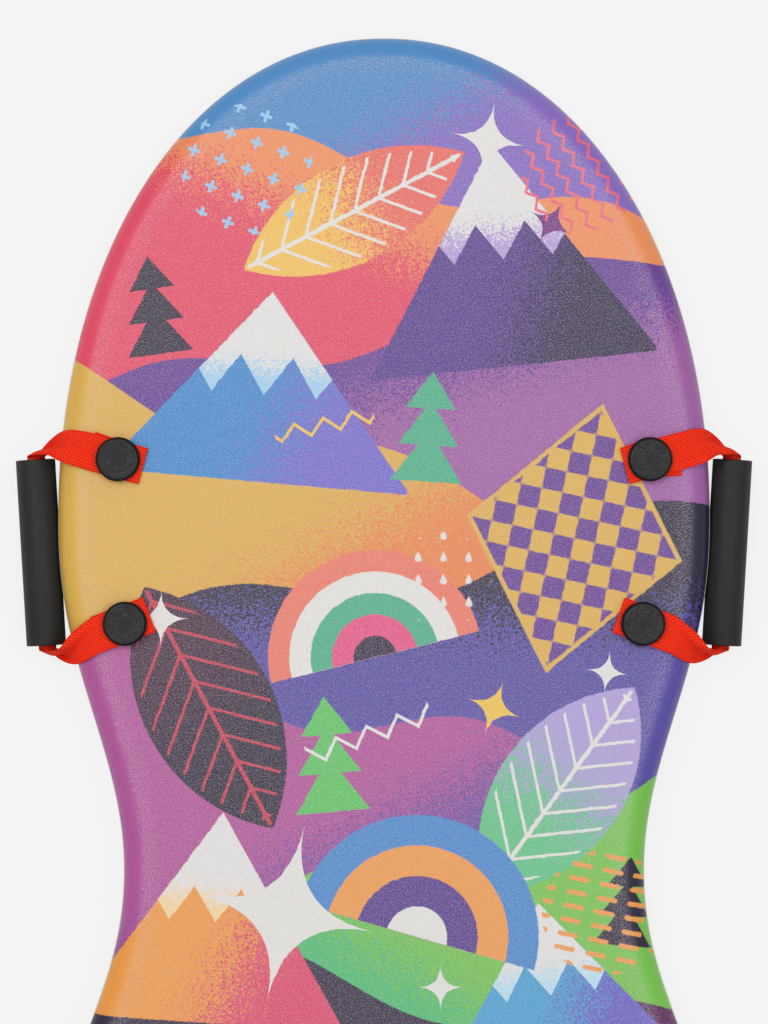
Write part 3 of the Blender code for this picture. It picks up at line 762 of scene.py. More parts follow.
def film_material():
    """The print; painted glints and painted shade in the hollows, from one noise; then the pale
    margin.
    """
    material, tree, shader = new_material("printed_film", "7A4E9E", 0.40, 0.45)
    sheet = Sheet(tree)
    lay_hills(sheet)
    lay_peaks(sheet)
    lay_large_shapes(sheet)
    lay_pines(sheet)
    lay_stars(sheet)
    lay_marks(sheet)
    _, (inset, _, _) = texture_space(tree, "UV")
    embossed = inset.ramp(SMOOTH_EDGE, GRAINED_EDGE)
    crest = embossed * inset.ramp(CREST_GONE, CREST_FULL)
    pebble = noise(tree, sheet.vector, 1.45, 2.0, 0.75)
    tint = noise(tree, sheet.vector, 0.8, 1.0)
    # Painted highlight: pale glints of the embossing, strongest at the crest where the top rounds
    # over.
    painted_glint = pebble.ramp(0.51, 0.74) * (crest * 0.45 + embossed * 0.75)
    # Painted shade: darker hollows of the embossing, and a slightly darker smooth shoulder.
    painted_shade = pebble.ramp(0.50, 0.24) * embossed * 0.36 + (-embossed + 1.0) * 0.10
    # The two colours of the painted glints.
    pale = laid_over(tree, "DEC0D0", "C2CCCC", tint.ramp(0.4, 0.6))
    colour = laid_over(tree, sheet.colour, pale, painted_glint)
    colour = laid_over(tree, colour, "1E1828", painted_shade)
    margin = sheet.z.ramp(MARGIN_TOP, MARGIN_LOW)
    colour = laid_over(tree, colour, "E4E0D2", margin)
    painted(tree, shader, colour, embossed * 0.10 + 0.34)
    bumped(tree, shader, pebble * embossed, 0.00030)
    return material


film = film_material()
print("film nodes:", len(film.node_tree.nodes))

# %% [markdown]
# The film is a thin shell: an outer skin from the seam over the shoulder to the flat top, and an
# inner skin a film's thickness below it. A Solidify modifier could make the wall. Here both skins
# are the outline swept by the section's rows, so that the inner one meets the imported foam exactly.
# A few more rows on the flat top keep the smooth shading of the shoulder from spreading into it.

# %% The film
flat_inset = np.array([0.0350, 0.0280, 0.0240, 0.0210, 0.0190])
flat_rows = flat_inset[:, None] * [1, 0, 0, 0] + [0.0, THICKNESS, 0.0, -1.0]
outer_rows = np.concatenate([flat_rows, TOP_ROWS[::-1]])
film_rows = np.concatenate([swept(outer_rows), swept(TOP_ROWS, SHEET)])
row_inset = np.concatenate([outer_rows[:, 0], TOP_ROWS[:, 0]])[:, None] * 1000
inset_uv = np.stack([row_inset + 0 * RING[None, :, 0], film_rows[..., 2] * 1000], axis=-1)
print_film = capped_stack("print_film", film_rows, film, inset_uv)
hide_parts("print_sheet")

# %% [markdown]
# ## The slick base
# The running face is a smooth dark polyethylene sheet with faint scratches along the board.
# A scratch could be a thin mesh or a picture. A noise that is stretched along the board does for
# hundreds of them, and shows in colour, roughness and bump alike.


# %% The base's material
def slick_material():
    """A cloudy ground colour with paler scratches from a noise drawn out along the board."""
    material, tree, shader = new_material("slick_sheet", "2E2446", 0.28, 0.5)
    vector, _ = texture_space(tree, "Object")
    stretch = tree.nodes.new("ShaderNodeMapping")
    stretch.inputs["Scale"].default_value = (1.0, 0.03, 1.0)
    tree.links.new(vector, stretch.inputs["Vector"])
    scratches = noise(tree, stretch.outputs["Vector"], 1.1, 3.0, 0.7)
    cloud = noise(tree, vector, 0.02, 2.0)
    colour = laid_over(tree, "2A2042", "3A2E58", cloud.ramp(0.35, 0.65))
    colour = laid_over(tree, colour, "5C5278", scratches.ramp(0.62, 0.72) * 0.5)
    painted(tree, shader, colour, scratches.ramp(0.3, 0.8) * 0.2 + 0.22)
    bumped(tree, shader, scratches, 0.00006)
    return material


slick = slick_material()
print("slick nodes:", len(slick.node_tree.nodes))

# %% [markdown]
# The base turns up round the lower edge and ends under the film, a small gap away from it.

# %% The base
edge_rows = np.concatenate([BASE_ROWS, TOP_ROWS[:1] - [0.0, GAP, 0.0, 0.0]])
base_rows = np.concatenate([swept(edge_rows), swept(edge_rows[::-1], BASE_WALL)])
base = capped_stack("running_base", base_rows, slick)
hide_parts("slick_base")

# %% [markdown]
# ## The rivets
# Each rivet is a black plastic button with a hollow barrel through the foam, and a flanged base
# below whose post snaps into the barrel. The plastic has a fine moulded grain on its face, and is
# smooth on the rim and on the side. The grain gets painted glints, the rim a painted highlight as a
# thin pale ring, and the side painted shade. Its UV map holds radius and height in millimetres, so
# the material can tell the one from the other.

# %% Moulded plastic
RIM_LINE, SKIRT_START, SKIRT_END = 12.7, 0.35, 0.75


def plastic_material():
    """A grain of two noises on the face, with painted glints. The rim is plain but for a painted
    highlight, and the side below it gets painted shade.
    """
    material, tree, shader = new_material("moulded_plastic", "1C1C1D", 0.42, 0.32)
    vector, _ = texture_space(tree, "Object")
    _, (radius, height, _) = texture_space(tree, "UV")
    grain = noise(tree, vector, 1.6, 1.0, 0.6)
    cloud = noise(tree, vector, 0.16, 2.0)
    top = BUTTON_TOP * 1000
    # Painted shade: the chamfer and side below the rim are coloured darker.
    shaded_skirt = height.ramp(top - SKIRT_START, top - SKIRT_END)
    # Painted highlight: a thin pale ring on the rounded rim.
    rim = (radius - RIM_LINE).size().ramp(0.40, 0.10) * (-shaded_skirt + 1.0)
    smooth = (shaded_skirt + rim).lower_of(1.0)
    # Painted glints: pale specks on the moulded grain, fewer towards the middle.
    painted_sparkle = grain.ramp(0.52, 0.74) * (-smooth + 1.0) * cloud.ramp(0.20, 0.70)
    colour = laid_over(tree, "0B0B0B", "151515", cloud.ramp(0.35, 0.65))
    colour = laid_over(tree, colour, "64646A", painted_sparkle * radius.ramp(1.0, 6.0) * 0.8)
    colour = laid_over(tree, colour, "343434", rim)
    colour = laid_over(tree, colour, "0E0E0E", shaded_skirt)
    painted(tree, shader, colour, cloud.ramp(0.3, 0.7) * 0.12 + 0.34 - rim * 0.12 + shaded_skirt * 0.45)
    bumped(tree, shader, grain * (-smooth + 1.0), 0.00035)
    return material


plastic = plastic_material()
print("plastic nodes:", len(plastic.node_tree.nodes))

# %% [markdown]
# The rivets are turned shapes: a profile of radius and height carried round an axis. Blender's
# Screw modifier does this too. Here it is one line of numpy, which also gives the UV map.


# %% Turned grids
def arc(centre, radius, start, end, steps):
    """Points of an arc in a profile, from one angle to another in degrees."""
    turn = np.radians(np.linspace(start, end, steps))
    return np.stack([centre[0] + radius * np.cos(turn), centre[1] + radius * np.sin(turn)], axis=1)


def turned_grid(profile, around=96):
    """Rows of a profile carried round the Z axis: x and y are the radius along the angle."""
    turn = np.linspace(0.0, 2 * math.pi, around, endpoint=False)[None, :]
    radius, height = profile[:, :1], profile[:, 1:]
    return np.stack([radius * np.cos(turn), radius * np.sin(turn), height + 0 * turn], axis=-1)


print("a ring has", turned_grid(np.zeros((1, 2))).shape[1], "points")

# %% [markdown]
# Each profile starts and ends near the axis. What is left open there gets a flat face, so that the
# turned piece is closed. Small arcs stand in for the roundings that a mould leaves.


# %% Profiles of the rivets
def button_profile():
    """From the shallow dish over the rim, down chamfer and side, then the barrel and its bore."""
    dish = [(0.0006, BUTTON_TOP - 0.0003), (0.0080, BUTTON_TOP - 0.00025)]
    dish += [(0.0112, BUTTON_TOP - 0.0001), (0.0119, BUTTON_TOP - 0.00002)]
    rim = arc((0.0125, BUTTON_TOP - 0.0006), 0.0006, 100.0, 42.0, 7)
    chamfer = arc((BUTTON_RADIUS - 0.0008, BUTTON_TOP - 0.0028), 0.0008, 42.0, 0.0, 5)
    side = [(BUTTON_RADIUS, BUTTON_BOTTOM + 0.0003), (BUTTON_RADIUS - 0.0003, BUTTON_BOTTOM)]
    barrel = [
        (BARREL_RADIUS, BUTTON_BOTTOM),
        (BARREL_RADIUS, FLANGE_TOP + GAP),
        (BARREL_BORE, FLANGE_TOP + GAP),
        (BARREL_BORE, BUTTON_BOTTOM),
    ]
    return np.concatenate([dish, rim, chamfer, side, barrel])


def flange_profile():
    """From the top of the post down to the flange, round its edge, and in to its middle."""
    post = BARREL_BORE - GAP
    return np.array(
        [
            (post - 0.0007, FLANGE_TOP + 0.020),
            (post, FLANGE_TOP + 0.0193),
            (post, FLANGE_TOP),
            (FLANGE_RADIUS - 0.0003, FLANGE_TOP),
            (FLANGE_RADIUS, FLANGE_TOP - 0.0003),
            (FLANGE_RADIUS, FLANGE_BOTTOM + 0.0004),
            (FLANGE_RADIUS - 0.0004, FLANGE_BOTTOM),
            (0.0060, FLANGE_BOTTOM),
            (0.0056, FLANGE_BOTTOM + 0.0002),
        ]
    )


print("profiles:", len(button_profile()), "and", len(flange_profile()), "points")

# %% [markdown]
# One function then turns a profile, sets it on its spot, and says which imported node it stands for.


# %% A turned piece
def turned_piece(name, profile, spot, node):
    """A turned piece with flat ends, standing on a spot of the board."""
    rows = turned_grid(profile) + spot
    radius_uv = np.repeat(profile[:, None] * 1000, rows.shape[1], axis=1)
    obj = add_mesh(name, rows, capped_faces(*rows.shape[:2]), plastic, "board", radius_uv)
    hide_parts(node)


# %% [markdown]
# The rivets stand 40 mm in from the edge beside them, so their places come from the outline.
# All is worked out for the right side. The left side is the same, with x turned to minus x.

# %% The rivets
FRONT_INSET, REAR_INSET = 0.0405, 0.0398
FRONT_RIVET = point(half_width(FRONT_REACH) - FRONT_INSET, FRONT_REACH)
REAR_RIVET = point(half_width(REAR_REACH) - REAR_INSET, REAR_REACH)
SIDES = {"left": np.array([-1.0, 1.0, 1.0]), "right": np.array([1.0, 1.0, 1.0])}

for side, mirror in SIDES.items():
    for end, rivet in (("front", FRONT_RIVET), ("rear", REAR_RIVET)):
        place, spot = f"{side}_{end}", rivet * mirror
        turned_piece(f"button_{place}", button_profile(), spot, f"rivet_cap_{place}")
        turned_piece(f"flange_{place}", flange_profile(), spot, f"rivet_base_{place}")


# %% [markdown]
# The flanges lie in round pockets of the base, and the barrels go through round holes. A grid that
# follows the outline can't have such holes, so a Boolean modifier cuts them with plain cylinders,
# and its result becomes the mesh.


# %% Pockets and bores
def cylinder(name, radius, low, high, spot, around=64):
    """A plain cylinder that stands on a spot of the board, as a cutting tool."""
    rows = turned_grid(np.array([(radius, high), (radius, low)]), around) + spot
    return add_mesh(name, rows, capped_faces(2, around), slick, None)


def cut(obj, radius, low, high, operation="DIFFERENCE"):
    """Cuts or joins a cylinder at each rivet, and keeps the result as the piece's own mesh."""
    tools = []
    for mirror in SIDES.values():
        for rivet in (FRONT_RIVET, REAR_RIVET):
            tool = cylinder("tool", radius, low, high, rivet * mirror)
            step = obj.modifiers.new("cut", "BOOLEAN")
            step.operation, step.solver, step.object = operation, "EXACT", tool
            tools.append(tool)
    graph = bpy.context.evaluated_depsgraph_get()
    made = bpy.data.meshes.new_from_object(obj.evaluated_get(graph), depsgraph=graph)
    made.set_sharp_from_angle(angle=SHARP_ANGLE)
    obj.modifiers.clear()
    obj.data = made
    for tool in tools:
        bpy.data.objects.remove(tool, do_unlink=True)
    print(f"{obj.name}: {len(made.polygons)} faces after cutting")


POCKET, BORE = FLANGE_RADIUS + GAP, BARREL_RADIUS + GAP
BELOW_BASE, ABOVE_BASE, BELOW_FILM, ABOVE_FILM = -0.002, 0.006, 0.030, 0.045
cut(base, POCKET + BASE_WALL, BASE_WALL / 2, FLANGE_TOP + GAP + BASE_WALL, "UNION")
cut(base, POCKET, BELOW_BASE, FLANGE_TOP + GAP)
cut(base, BORE, BELOW_BASE, ABOVE_BASE)
cut(print_film, BORE, BELOW_FILM, ABOVE_FILM)

# %% [markdown]
# ## The webbing
# The webbing is one strip per handle, 25 mm wide. Each end is doubled under and clamped below a
# button. From there the strip goes down over the board's shoulder and rolls over a slanting line,
# so that its underside shows, and is drawn together into a gutter that runs through the grip to
# the other button.
# Cloth simulation could drape it, but a strip whose two ends are both held is easier to steer by a
# formula first and to settle afterwards. The strip is a grid: the run along it on one axis, the
# place across it on the other. The photograph shows four slightly different corners, so each has
# its own few numbers, in millimetres and degrees.

# %% Places of the handle
HINGE_LINE = (REAR_RIVET - FRONT_RIVET) / np.linalg.norm(REAR_RIVET - FRONT_RIVET)
HINGE_OUT = np.array([-HINGE_LINE[1], HINGE_LINE[0], 0.0])
HINGE_FROM_RIVET = 0.0175
HINGE_POINT = FRONT_RIVET + HINGE_FROM_RIVET * HINGE_OUT + np.array([0.0, 0.0, STRAP_MID])
GRIP_AXIS = np.array([-math.sin(GRIP_LEAN), -math.cos(GRIP_LEAN), 0.0])
low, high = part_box("grip_right")
GRIP_MIDDLE = np.array([(low.x + high.x) / 2, (low.y + high.y) / 2, (low.z + high.z) / 2])
print("grip middle:", np.round(GRIP_MIDDLE, 5), "hinge:", np.round(HINGE_POINT, 5))

ACROSS = np.linspace(-WEBBING_WIDTH / 2, WEBBING_WIDTH / 2, 21)[None, :]
MIDDLE = ACROSS.shape[1] // 2
CORNER_KEYS = ("angle", "slant", "roll_run", "radius", "inset", "dip", "tilt", "slack")
CORNERS = {
    "left_front": (15.2, 31.1, 37.7, 3.5, 10.0, 50.0, 120.0, 7.0),
    "right_front": (14.7, 40.3, 44.4, 3.5, 12.1, 33.7, 120.0, 3.8),
    "left_rear": (20.7, 32.7, 41.7, 6.9, 19.5, 20.0, 112.0, 6.9),
    "right_rear": (19.8, 27.8, 40.6, 7.3, 16.6, 20.0, 112.0, 7.4),
}

# %% [markdown]
# A corner's numbers say how its strip leaves the button (angle), which line it rolls over (slant,
# roll_run, radius), how it bends down over the shoulder (inset, dip), and how it meets the grip
# (tilt, slack). The hinge line of the handle crosses the strip just outside the button.


# %% A corner's numbers
def corner_of(place):
    """The corner's numbers in metres and radians, its rivet, directions and the grip's mouth."""
    side, end = place.split("_")
    nose = 1.0 if end == "front" else -1.0
    raw = dict(zip(CORNER_KEYS, CORNERS[place]))
    angle = math.radians(raw["angle"])
    into_grip = nose * GRIP_AXIS
    corner = {key: math.radians(raw[key]) for key in ("slant", "dip", "tilt")}
    corner.update({key: raw[key] / 1000 for key in ("roll_run", "radius", "inset", "slack")})
    corner.update(
        rivet=FRONT_RIVET if end == "front" else REAR_RIVET,
        nose=nose,
        along=np.array([math.cos(angle), nose * math.sin(angle)]),
        across=np.array([math.sin(angle), -nose * math.cos(angle)]),
        into_grip=into_grip,
        mouth=GRIP_MIDDLE - into_grip * GRIP_LENGTH / 2,
    )
    return corner


def eased(value, start, end):
    """0 before start, 1 after end, and a smooth step between them."""
    share = np.clip((value - start) / (end - start), 0.0, 1.0)
    return share * share * (3 - 2 * share)


def hinge_line(corner):
    """Where the hinge line crosses the strap: the run at its middle, and its change across it."""
    out = HINGE_OUT[:2]
    start = ((HINGE_POINT[:2] - corner["rivet"][:2]) @ out + SLIM_GAP) / (corner["along"] @ out)
    return start, -(corner["across"] @ out) / (corner["along"] @ out)


def flat_plan(corner, run):
    """Plan places of the strip before it rolls: run times its direction, plus the place across."""
    across = ACROSS[..., None] * corner["across"]
    return corner["rivet"][:2] + run[..., None] * corner["along"] + across


print("left front direction:", np.round(corner_of("left_front")["along"], 3))

# %% [markdown]
# Webbing lies on things and never in them. These two functions move points out of the board's
# rounded section and back from the grip's end. They know both as formulas, which is faster and
# steadier than asking Blender for collisions.

# %% Keeping clear
NEAR_GRIP, FAR_FROM_GRIP = 1.4 * GRIP_RADIUS, 2.2 * GRIP_RADIUS


def off_the_board(points, rest=0.0013):
    """Points inside the board's section, grown by rest, moved out to its surface."""
    x, y, z = points[..., 0].copy(), points[..., 1].copy(), points[..., 2].copy()
    centre = half_width(LENGTH / 2 - y) - SHOULDER_WIDTH
    wide, tall = SHOULDER_WIDTH + rest, SHOULDER_HEIGHT + rest
    dx, dz = x - centre, z - WIDEST
    radius = np.hypot(np.maximum(dx, 0.0) / wide, np.maximum(dz, 0.0) / tall)
    grow = np.where((dx > 0) & (dz > 0) & (radius < 1), 1 / np.maximum(radius, 0.01), 1.0)
    x, z = centre + dx * grow, WIDEST + dz * grow
    x = np.where((dz <= 0) & (dx < wide), centre + wide, x)
    z = np.where((dx <= 0) & (z < THICKNESS + rest), THICKNESS + rest, z)
    return np.stack([x, y, z], axis=-1)


def before_the_grip(points, corner):
    """Points beside the grip's end, eased back so that none runs past its mouth."""
    mouth, into_grip = corner["mouth"], corner["into_grip"]
    margin = WEBBING + SLIM_GAP
    past = (points - mouth) @ into_grip
    radius = np.linalg.norm(points - mouth - past[..., None] * into_grip, axis=-1)
    near = 1 - eased(radius, NEAR_GRIP, FAR_FROM_GRIP)
    over = np.maximum(past + 2 * margin, 0.0)
    back = over - margin * (1 - np.exp(-over / margin))
    return points - (near * back)[..., None] * into_grip


probe = np.array([[0.20, 0.11, 0.030]])
moved = float(np.linalg.norm(off_the_board(probe) - probe))
print("a point in the shoulder moves out by", round(moved * 1000, 1), "mm")

# %% [markdown]
# Webbing bends along straight lines, as paper does. Rolling it round a slanting cylinder is
# the plainest such bend: it turns the strip towards the grip and shows its underside.

# %% The roll
BEND_RADIUS = 0.015


def rolled_strip(flat, corner):
    """The flat strip rolled over a slanting line, then bent down over the shoulder.

    Past the line the strip goes round a cylinder by the angle past / radius, up to half a turn,
    and comes back below itself. From the inset on, all of it turns down round a larger cylinder.
    """
    nose, slant, radius = corner["nose"], corner["slant"], corner["radius"]
    line = np.array([math.cos(slant), -nose * math.sin(slant)])
    beyond = np.array([math.sin(slant), nose * math.cos(slant)])
    heel = corner["rivet"][:2] + corner["roll_run"] * corner["along"]
    past, side = (flat - heel) @ beyond, (flat - heel) @ line
    wrap = np.clip(past / radius, 0.0, math.pi)
    level = np.where(past < 0, past, radius * np.sin(wrap))
    level -= np.maximum(past - math.pi * radius, 0.0)
    drop = radius * (1 - np.cos(wrap))
    plan_x = heel[0] + side * line[0] + level * beyond[0]
    plan_y = heel[1] + side * line[1] + level * beyond[1]

    dip = corner["dip"]
    bend_x = half_width(LENGTH / 2 - corner["rivet"][1]) - corner["inset"]
    bend = np.clip((plan_x - bend_x) / BEND_RADIUS, 0.0, dip)
    rest = np.maximum(plan_x - bend_x - BEND_RADIUS * dip, 0.0)
    round_x = bend_x + BEND_RADIUS * np.sin(bend) + rest * math.cos(dip)
    x = np.where(bend > 0, round_x, plan_x) - drop * np.sin(bend)
    z = STRAP_MID - BEND_RADIUS * (1 - np.cos(bend)) - rest * math.sin(dip)
    return np.stack([x, plan_y, z - drop * np.cos(bend)], axis=-1), past


def mouth_run(corner):
    """The run at which the rolled strip's middle reaches the plane of the grip's mouth."""
    run = np.linspace(corner["roll_run"] + 0.004, 0.10, 200)[:, None]
    points, _ = rolled_strip(flat_plan(corner, run), corner)
    ahead = ((points - corner["mouth"]) @ corner["into_grip"])[:, MIDDLE]
    back = np.argmin(ahead)
    return float(run[back + np.argmax(ahead[back:] >= 0), 0]) + corner["slack"]


for place in CORNERS:
    print(place, "reaches the grip after", round(mouth_run(corner_of(place)) * 1000, 1), "mm")


# %% [markdown]
# A 25 mm strip doesn't lie flat in a 14 mm bore. It curls into a gutter, tighter towards the mouth.
# The first guess of a corner goes over smoothly from the roll to this gutter.


# %% The curl
def curled_strip(done, ahead, corner):
    """The strip as a gutter on the grip's axis, tighter and tighter as done goes from 0 to 1."""
    into_grip = corner["into_grip"]
    opening = np.array([math.sin(corner["tilt"]), 0.0, math.cos(corner["tilt"])])
    opening -= into_grip * (opening @ into_grip)
    opening /= np.linalg.norm(opening)
    outward = np.cross(into_grip, opening) * corner["nose"]
    curl = (0.05 + 0.95 * eased(done, 0.2, 1.0)) / CURL_RADIUS
    sideways, rise = np.sin(curl * ACROSS) / curl, (1 - np.cos(curl * ACROSS)) / curl
    bottom = corner["mouth"] - CURL_RADIUS * opening
    points = bottom + ahead[..., None] * into_grip + sideways[..., None] * outward
    return points + rise[..., None] * opening


def guessed_rows(corner, rows=45):
    """Rows from the hinge line to the grip's mouth: the roll, drawn together into the curl."""
    start, skew = hinge_line(corner)
    share = np.linspace(0.0, 1.0, rows)[:, None]
    skewed = ACROSS * skew * (1 - eased(share, 0.0, 0.35))
    run = start + (mouth_run(corner) - start) * share + skewed
    rolled, past = rolled_strip(flat_plan(corner, run), corner)
    done = np.clip(past / past[-1:], 0.0, 1.0)
    gather = eased(done, 0.1, 1.0)
    ahead = (rolled - corner["mouth"]) @ corner["into_grip"]
    curled = curled_strip(done, ahead - gather * ahead[-1:], corner)
    mixed = (1 - gather)[..., None] * rolled + gather[..., None] * curled
    return off_the_board(mixed), np.stack([run, ACROSS + 0 * run], axis=-1)


print("guessed grid:", guessed_rows(corner_of("left_front"))[0].shape[:2])

# %% [markdown]
# So far this is only a good guess, since webbing doesn't stretch. The grid is now settled the way a
# strip settles by itself. Neighbouring points are pulled to their woven distance. Points further
# apart are pushed out again where they come too close, which is the webbing's stiffness. Each kind
# of pair is moved all at once, in two sets that share no point. This is a small cloth solver with
# nothing random in it, so that it gives the same strip each time.


# %% Pulling pairs of points
def pairs(rows, columns, down, right):
    """Index grids of all pairs of points that lie some rows and columns apart, in two sets."""
    sets = []
    for phase in (0, 1):
        if down:
            i = np.array([k for k in range(rows - down) if k // down % 2 == phase])[:, None]
            j = np.arange(max(0, -right), columns - max(0, right))[None, :]
        else:
            i = np.arange(rows)[:, None]
            j = np.array([k for k in range(columns - right) if k // right % 2 == phase])[None, :]
        sets.append(((i + 0 * j, j + 0 * i), (i + down + 0 * j, j + right + 0 * i)))
    return sets


def pull(points, free, first, second, rest, strength, only_apart):
    """Moves each pair along its line by strength times the miss (distance - rest) / distance."""
    step = points[second] - points[first]
    span = np.linalg.norm(step, axis=-1)
    miss = (span - rest) / span
    if only_apart:
        miss = np.minimum(miss, 0.0)
    share = free[first] + free[second]
    move = (strength * miss / np.maximum(share, 1.0))[..., None] * step
    points[first] += free[first][..., None] * move
    points[second] -= free[second][..., None] * move


print("neighbours in a 4 by 3 grid:", [first[0].size for first, _ in pairs(4, 3, 1, 0)])

# %% [markdown]
# A corner settles in two stages: 200 rounds of pulls and pushes, then 30 rounds that also smooth it
# as a thin plate. The printed stretch says how true its lengths are: 1 is exactly as woven. The
# middle of the strip comes out about 5% too long and its edges 16 to 44%, most of all where they
# gather at the grip. So the corner is a likeness, and not a measurement.

# %% Settling
PULL_ROUNDS, SMOOTH_ROUNDS, PLATE_STIFFNESS = 200, 30, 0.05
WOVEN_PULLS = [(1, 0, 1.0, False), (0, 1, 1.0, False), (1, 1, 0.5, False), (1, -1, 0.5, False)]
STIFF_PUSHES = [(2, 0, 0.2, True), (0, 2, 0.2, True), (4, 0, 0.2, True), (0, 4, 0.2, True)]
STIFF_PUSHES += [(8, 0, 0.12, True), (6, 6, 0.1, True), (6, -6, 0.1, True)]


def bending(points):
    """A thin plate's bending force: the second difference of the second difference, both ways."""
    force = np.zeros_like(points)
    for axis in (0, 1):
        width = [(2, 2) if k == axis else (0, 0) for k in range(3)]
        force += np.diff(np.pad(np.diff(points, 2, axis=axis), width), 2, axis=axis)
    return force


def settled(points, flat, corner):
    """The corner's grid after many small pulls, with both ends held and board and grip kept clear.

    A pull is stated as rows down, columns to the right, strength, and whether it only pushes apart.
    The last rounds smooth the strip as a thin plate and pull only on its woven distances.
    """
    rows, columns = points.shape[:2]
    free = np.ones((rows, columns))
    free[:2] = free[-2:] = 0.0
    groups = [
        (first, second, np.linalg.norm(flat[second] - flat[first], axis=-1), strength, only_apart)
        for down, right, strength, only_apart in WOVEN_PULLS + STIFF_PUSHES
        for first, second in pairs(rows, columns, down, right)
    ]
    woven = groups[: 2 * len(WOVEN_PULLS)]
    for turn in range(PULL_ROUNDS + SMOOTH_ROUNDS):
        smoothing = turn >= PULL_ROUNDS
        if smoothing:
            for _ in range(2):
                points = points - PLATE_STIFFNESS * bending(points) * free[..., None]
        for group in woven * 2 if smoothing else groups:
            pull(points, free, *group)
        clear = before_the_grip(off_the_board(points), corner)
        points = np.where(free[..., None] > 0, clear, points)
    return points


def corner_rows(place):
    """The settled rows of one corner, from the hinge line to the grip's mouth."""
    corner = corner_of(place)
    guess, flat = guessed_rows(corner)
    points = settled(guess, flat, corner)
    steps = [np.linalg.norm(np.diff(grid, axis=0), axis=-1) for grid in (points, flat)]
    stretch = np.round(np.percentile(steps[0] / steps[1], [5, 50, 95]), 2)
    print(place, "stretch of its steps, low, middle and high:", stretch)
    return points


# %% [markdown]
# Below the button the strip lies in two layers, joined by a tight turn at the tip, as a sewn or
# riveted strap end has. The lower layer's end shows a little past the upper one where it was laid
# in askew. These rows come before the corner's, and in reverse after the other corner's.

# %% The doubled end
UNDERLAP_RUN, TIP_RUN, TUCK_START, HINGE_MARGIN = 0.0205, -0.0160, -0.0166, 0.0012
TUCK = {"left": -4.0, "right": 10.0}


def end_rows(corner, tuck=0.0):
    """Rows from the hidden end of the lower layer, round the tip, and out to the hinge line.

    tuck turns the lower layer about the rivet by a few degrees, as it lies under a front button.
    The rows of the upper layer lean over little by little until they lie along the hinge line.
    """
    start, skew = hinge_line(corner)
    radius = (STRAP_MID - UNDERLAP_MID) / 2
    middle = (STRAP_MID + UNDERLAP_MID) / 2
    below = np.linspace(UNDERLAP_RUN, TIP_RUN, 14)
    turn = np.linspace(-90.0, 90.0, 9)[1:-1]
    above = np.linspace(TIP_RUN, start - HINGE_MARGIN, 14)
    run = np.concatenate([below, TIP_RUN - radius * np.cos(np.radians(turn)), above])
    round_tip = middle + radius * np.sin(np.radians(turn))
    height = np.concatenate([0 * below + UNDERLAP_MID, round_tip, 0 * above + STRAP_MID])
    angle = np.radians(tuck) * eased(run, TUCK_START, 0.0) * (height < middle)
    lean = eased(run, 0.0, start - HINGE_MARGIN) * (height > middle)
    u, v = run[:, None] + skew * ACROSS * lean[:, None], ACROSS + 0 * run[:, None]
    turned_u = u * np.cos(angle)[:, None] - v * np.sin(angle)[:, None]
    turned_v = u * np.sin(angle)[:, None] + v * np.cos(angle)[:, None]
    plan = corner["rivet"][:2] + turned_u[..., None] * corner["along"]
    plan = plan + turned_v[..., None] * corner["across"]
    level = np.broadcast_to(height[:, None, None], (*u.shape, 1))
    return np.concatenate([plan, level], axis=-1)


def strip_rows(side):
    """The whole strip, drawn on the right, from the front button through the grip to the rear."""
    front, rear = corner_rows(f"{side}_front"), corner_rows(f"{side}_rear")
    inside = np.linspace(0.0, 1.0, 26)[1:-1, None, None]
    tube = (1 - inside) * front[-1] + inside * rear[-1]
    ends = end_rows(corner_of(f"{side}_front"), TUCK[side]), end_rows(corner_of(f"{side}_rear"))
    return np.concatenate([ends[0], front, tube, rear[::-1], ends[1][::-1]])


print("rows of a doubled end:", len(end_rows(corner_of("left_front"))))

# %% [markdown]
# Thousands of modelled yarns would be far too heavy, so the weave is a relief in the material. It
# is drawn on the strip's own UV map, which holds millimetres along and across, and so follows every
# fold. Rounded yarn crossings stand in rows, each row shifted by half a step, with painted shade in
# the gaps and a painted highlight on each crossing's top. The selvedges are a little darker too.

# %% Webbing material
PITCH_ALONG, PITCH_ACROSS = 1.9, 1.55


def webbing_material():
    """Yarn crossings as domes: 1 less the squares of the shares of a step along and across."""
    material, tree, shader = new_material("woven_webbing", "E62A0A", 0.80, 0.05)
    vector, (along, across, _) = texture_space(tree, "UV")
    row = ((across + PITCH_ACROSS / 2) / PITCH_ACROSS).op("FLOOR")
    offset = row.op("MODULO", 2.0) * (PITCH_ALONG / 2)
    tooth = ((along + offset).wrapped(PITCH_ALONG) / PITCH_ALONG * 2.0).size()
    rib = (across.wrapped(PITCH_ACROSS) / PITCH_ACROSS * 2.0).size()
    yarn = (tooth * tooth * 0.60 + rib * rib * 0.60) * -1.0 + 1.0
    fuzz = noise(tree, vector, 0.9, 3.0, 0.7)
    height = yarn.higher_of(0.0) + (fuzz - 0.5) * 0.7
    # Painted shade in the gaps between the yarn domes, and a painted highlight on their tops.
    colour = laid_over(tree, "BC0600", "FC2606", height.ramp(0.0, 0.50))
    colour = laid_over(tree, colour, "FF5E42", height.ramp(0.60, 1.02) * 0.80)
    selvedge = across.size().ramp(11.4, 12.4)
    colour = laid_over(tree, colour, "D42006", selvedge * 0.6)
    painted(tree, shader, colour)
    bumped(tree, shader, height, 0.00040)
    return material


woven = webbing_material()
print("webbing nodes:", len(woven.node_tree.nodes))

# %% [markdown]
# The strip gets its thickness from its own normals, half to each side, and slightly thinner edges,
# as woven edges are.

# %% Thickness
EDGE_START, EDGE_THINNING = 0.94, 0.75


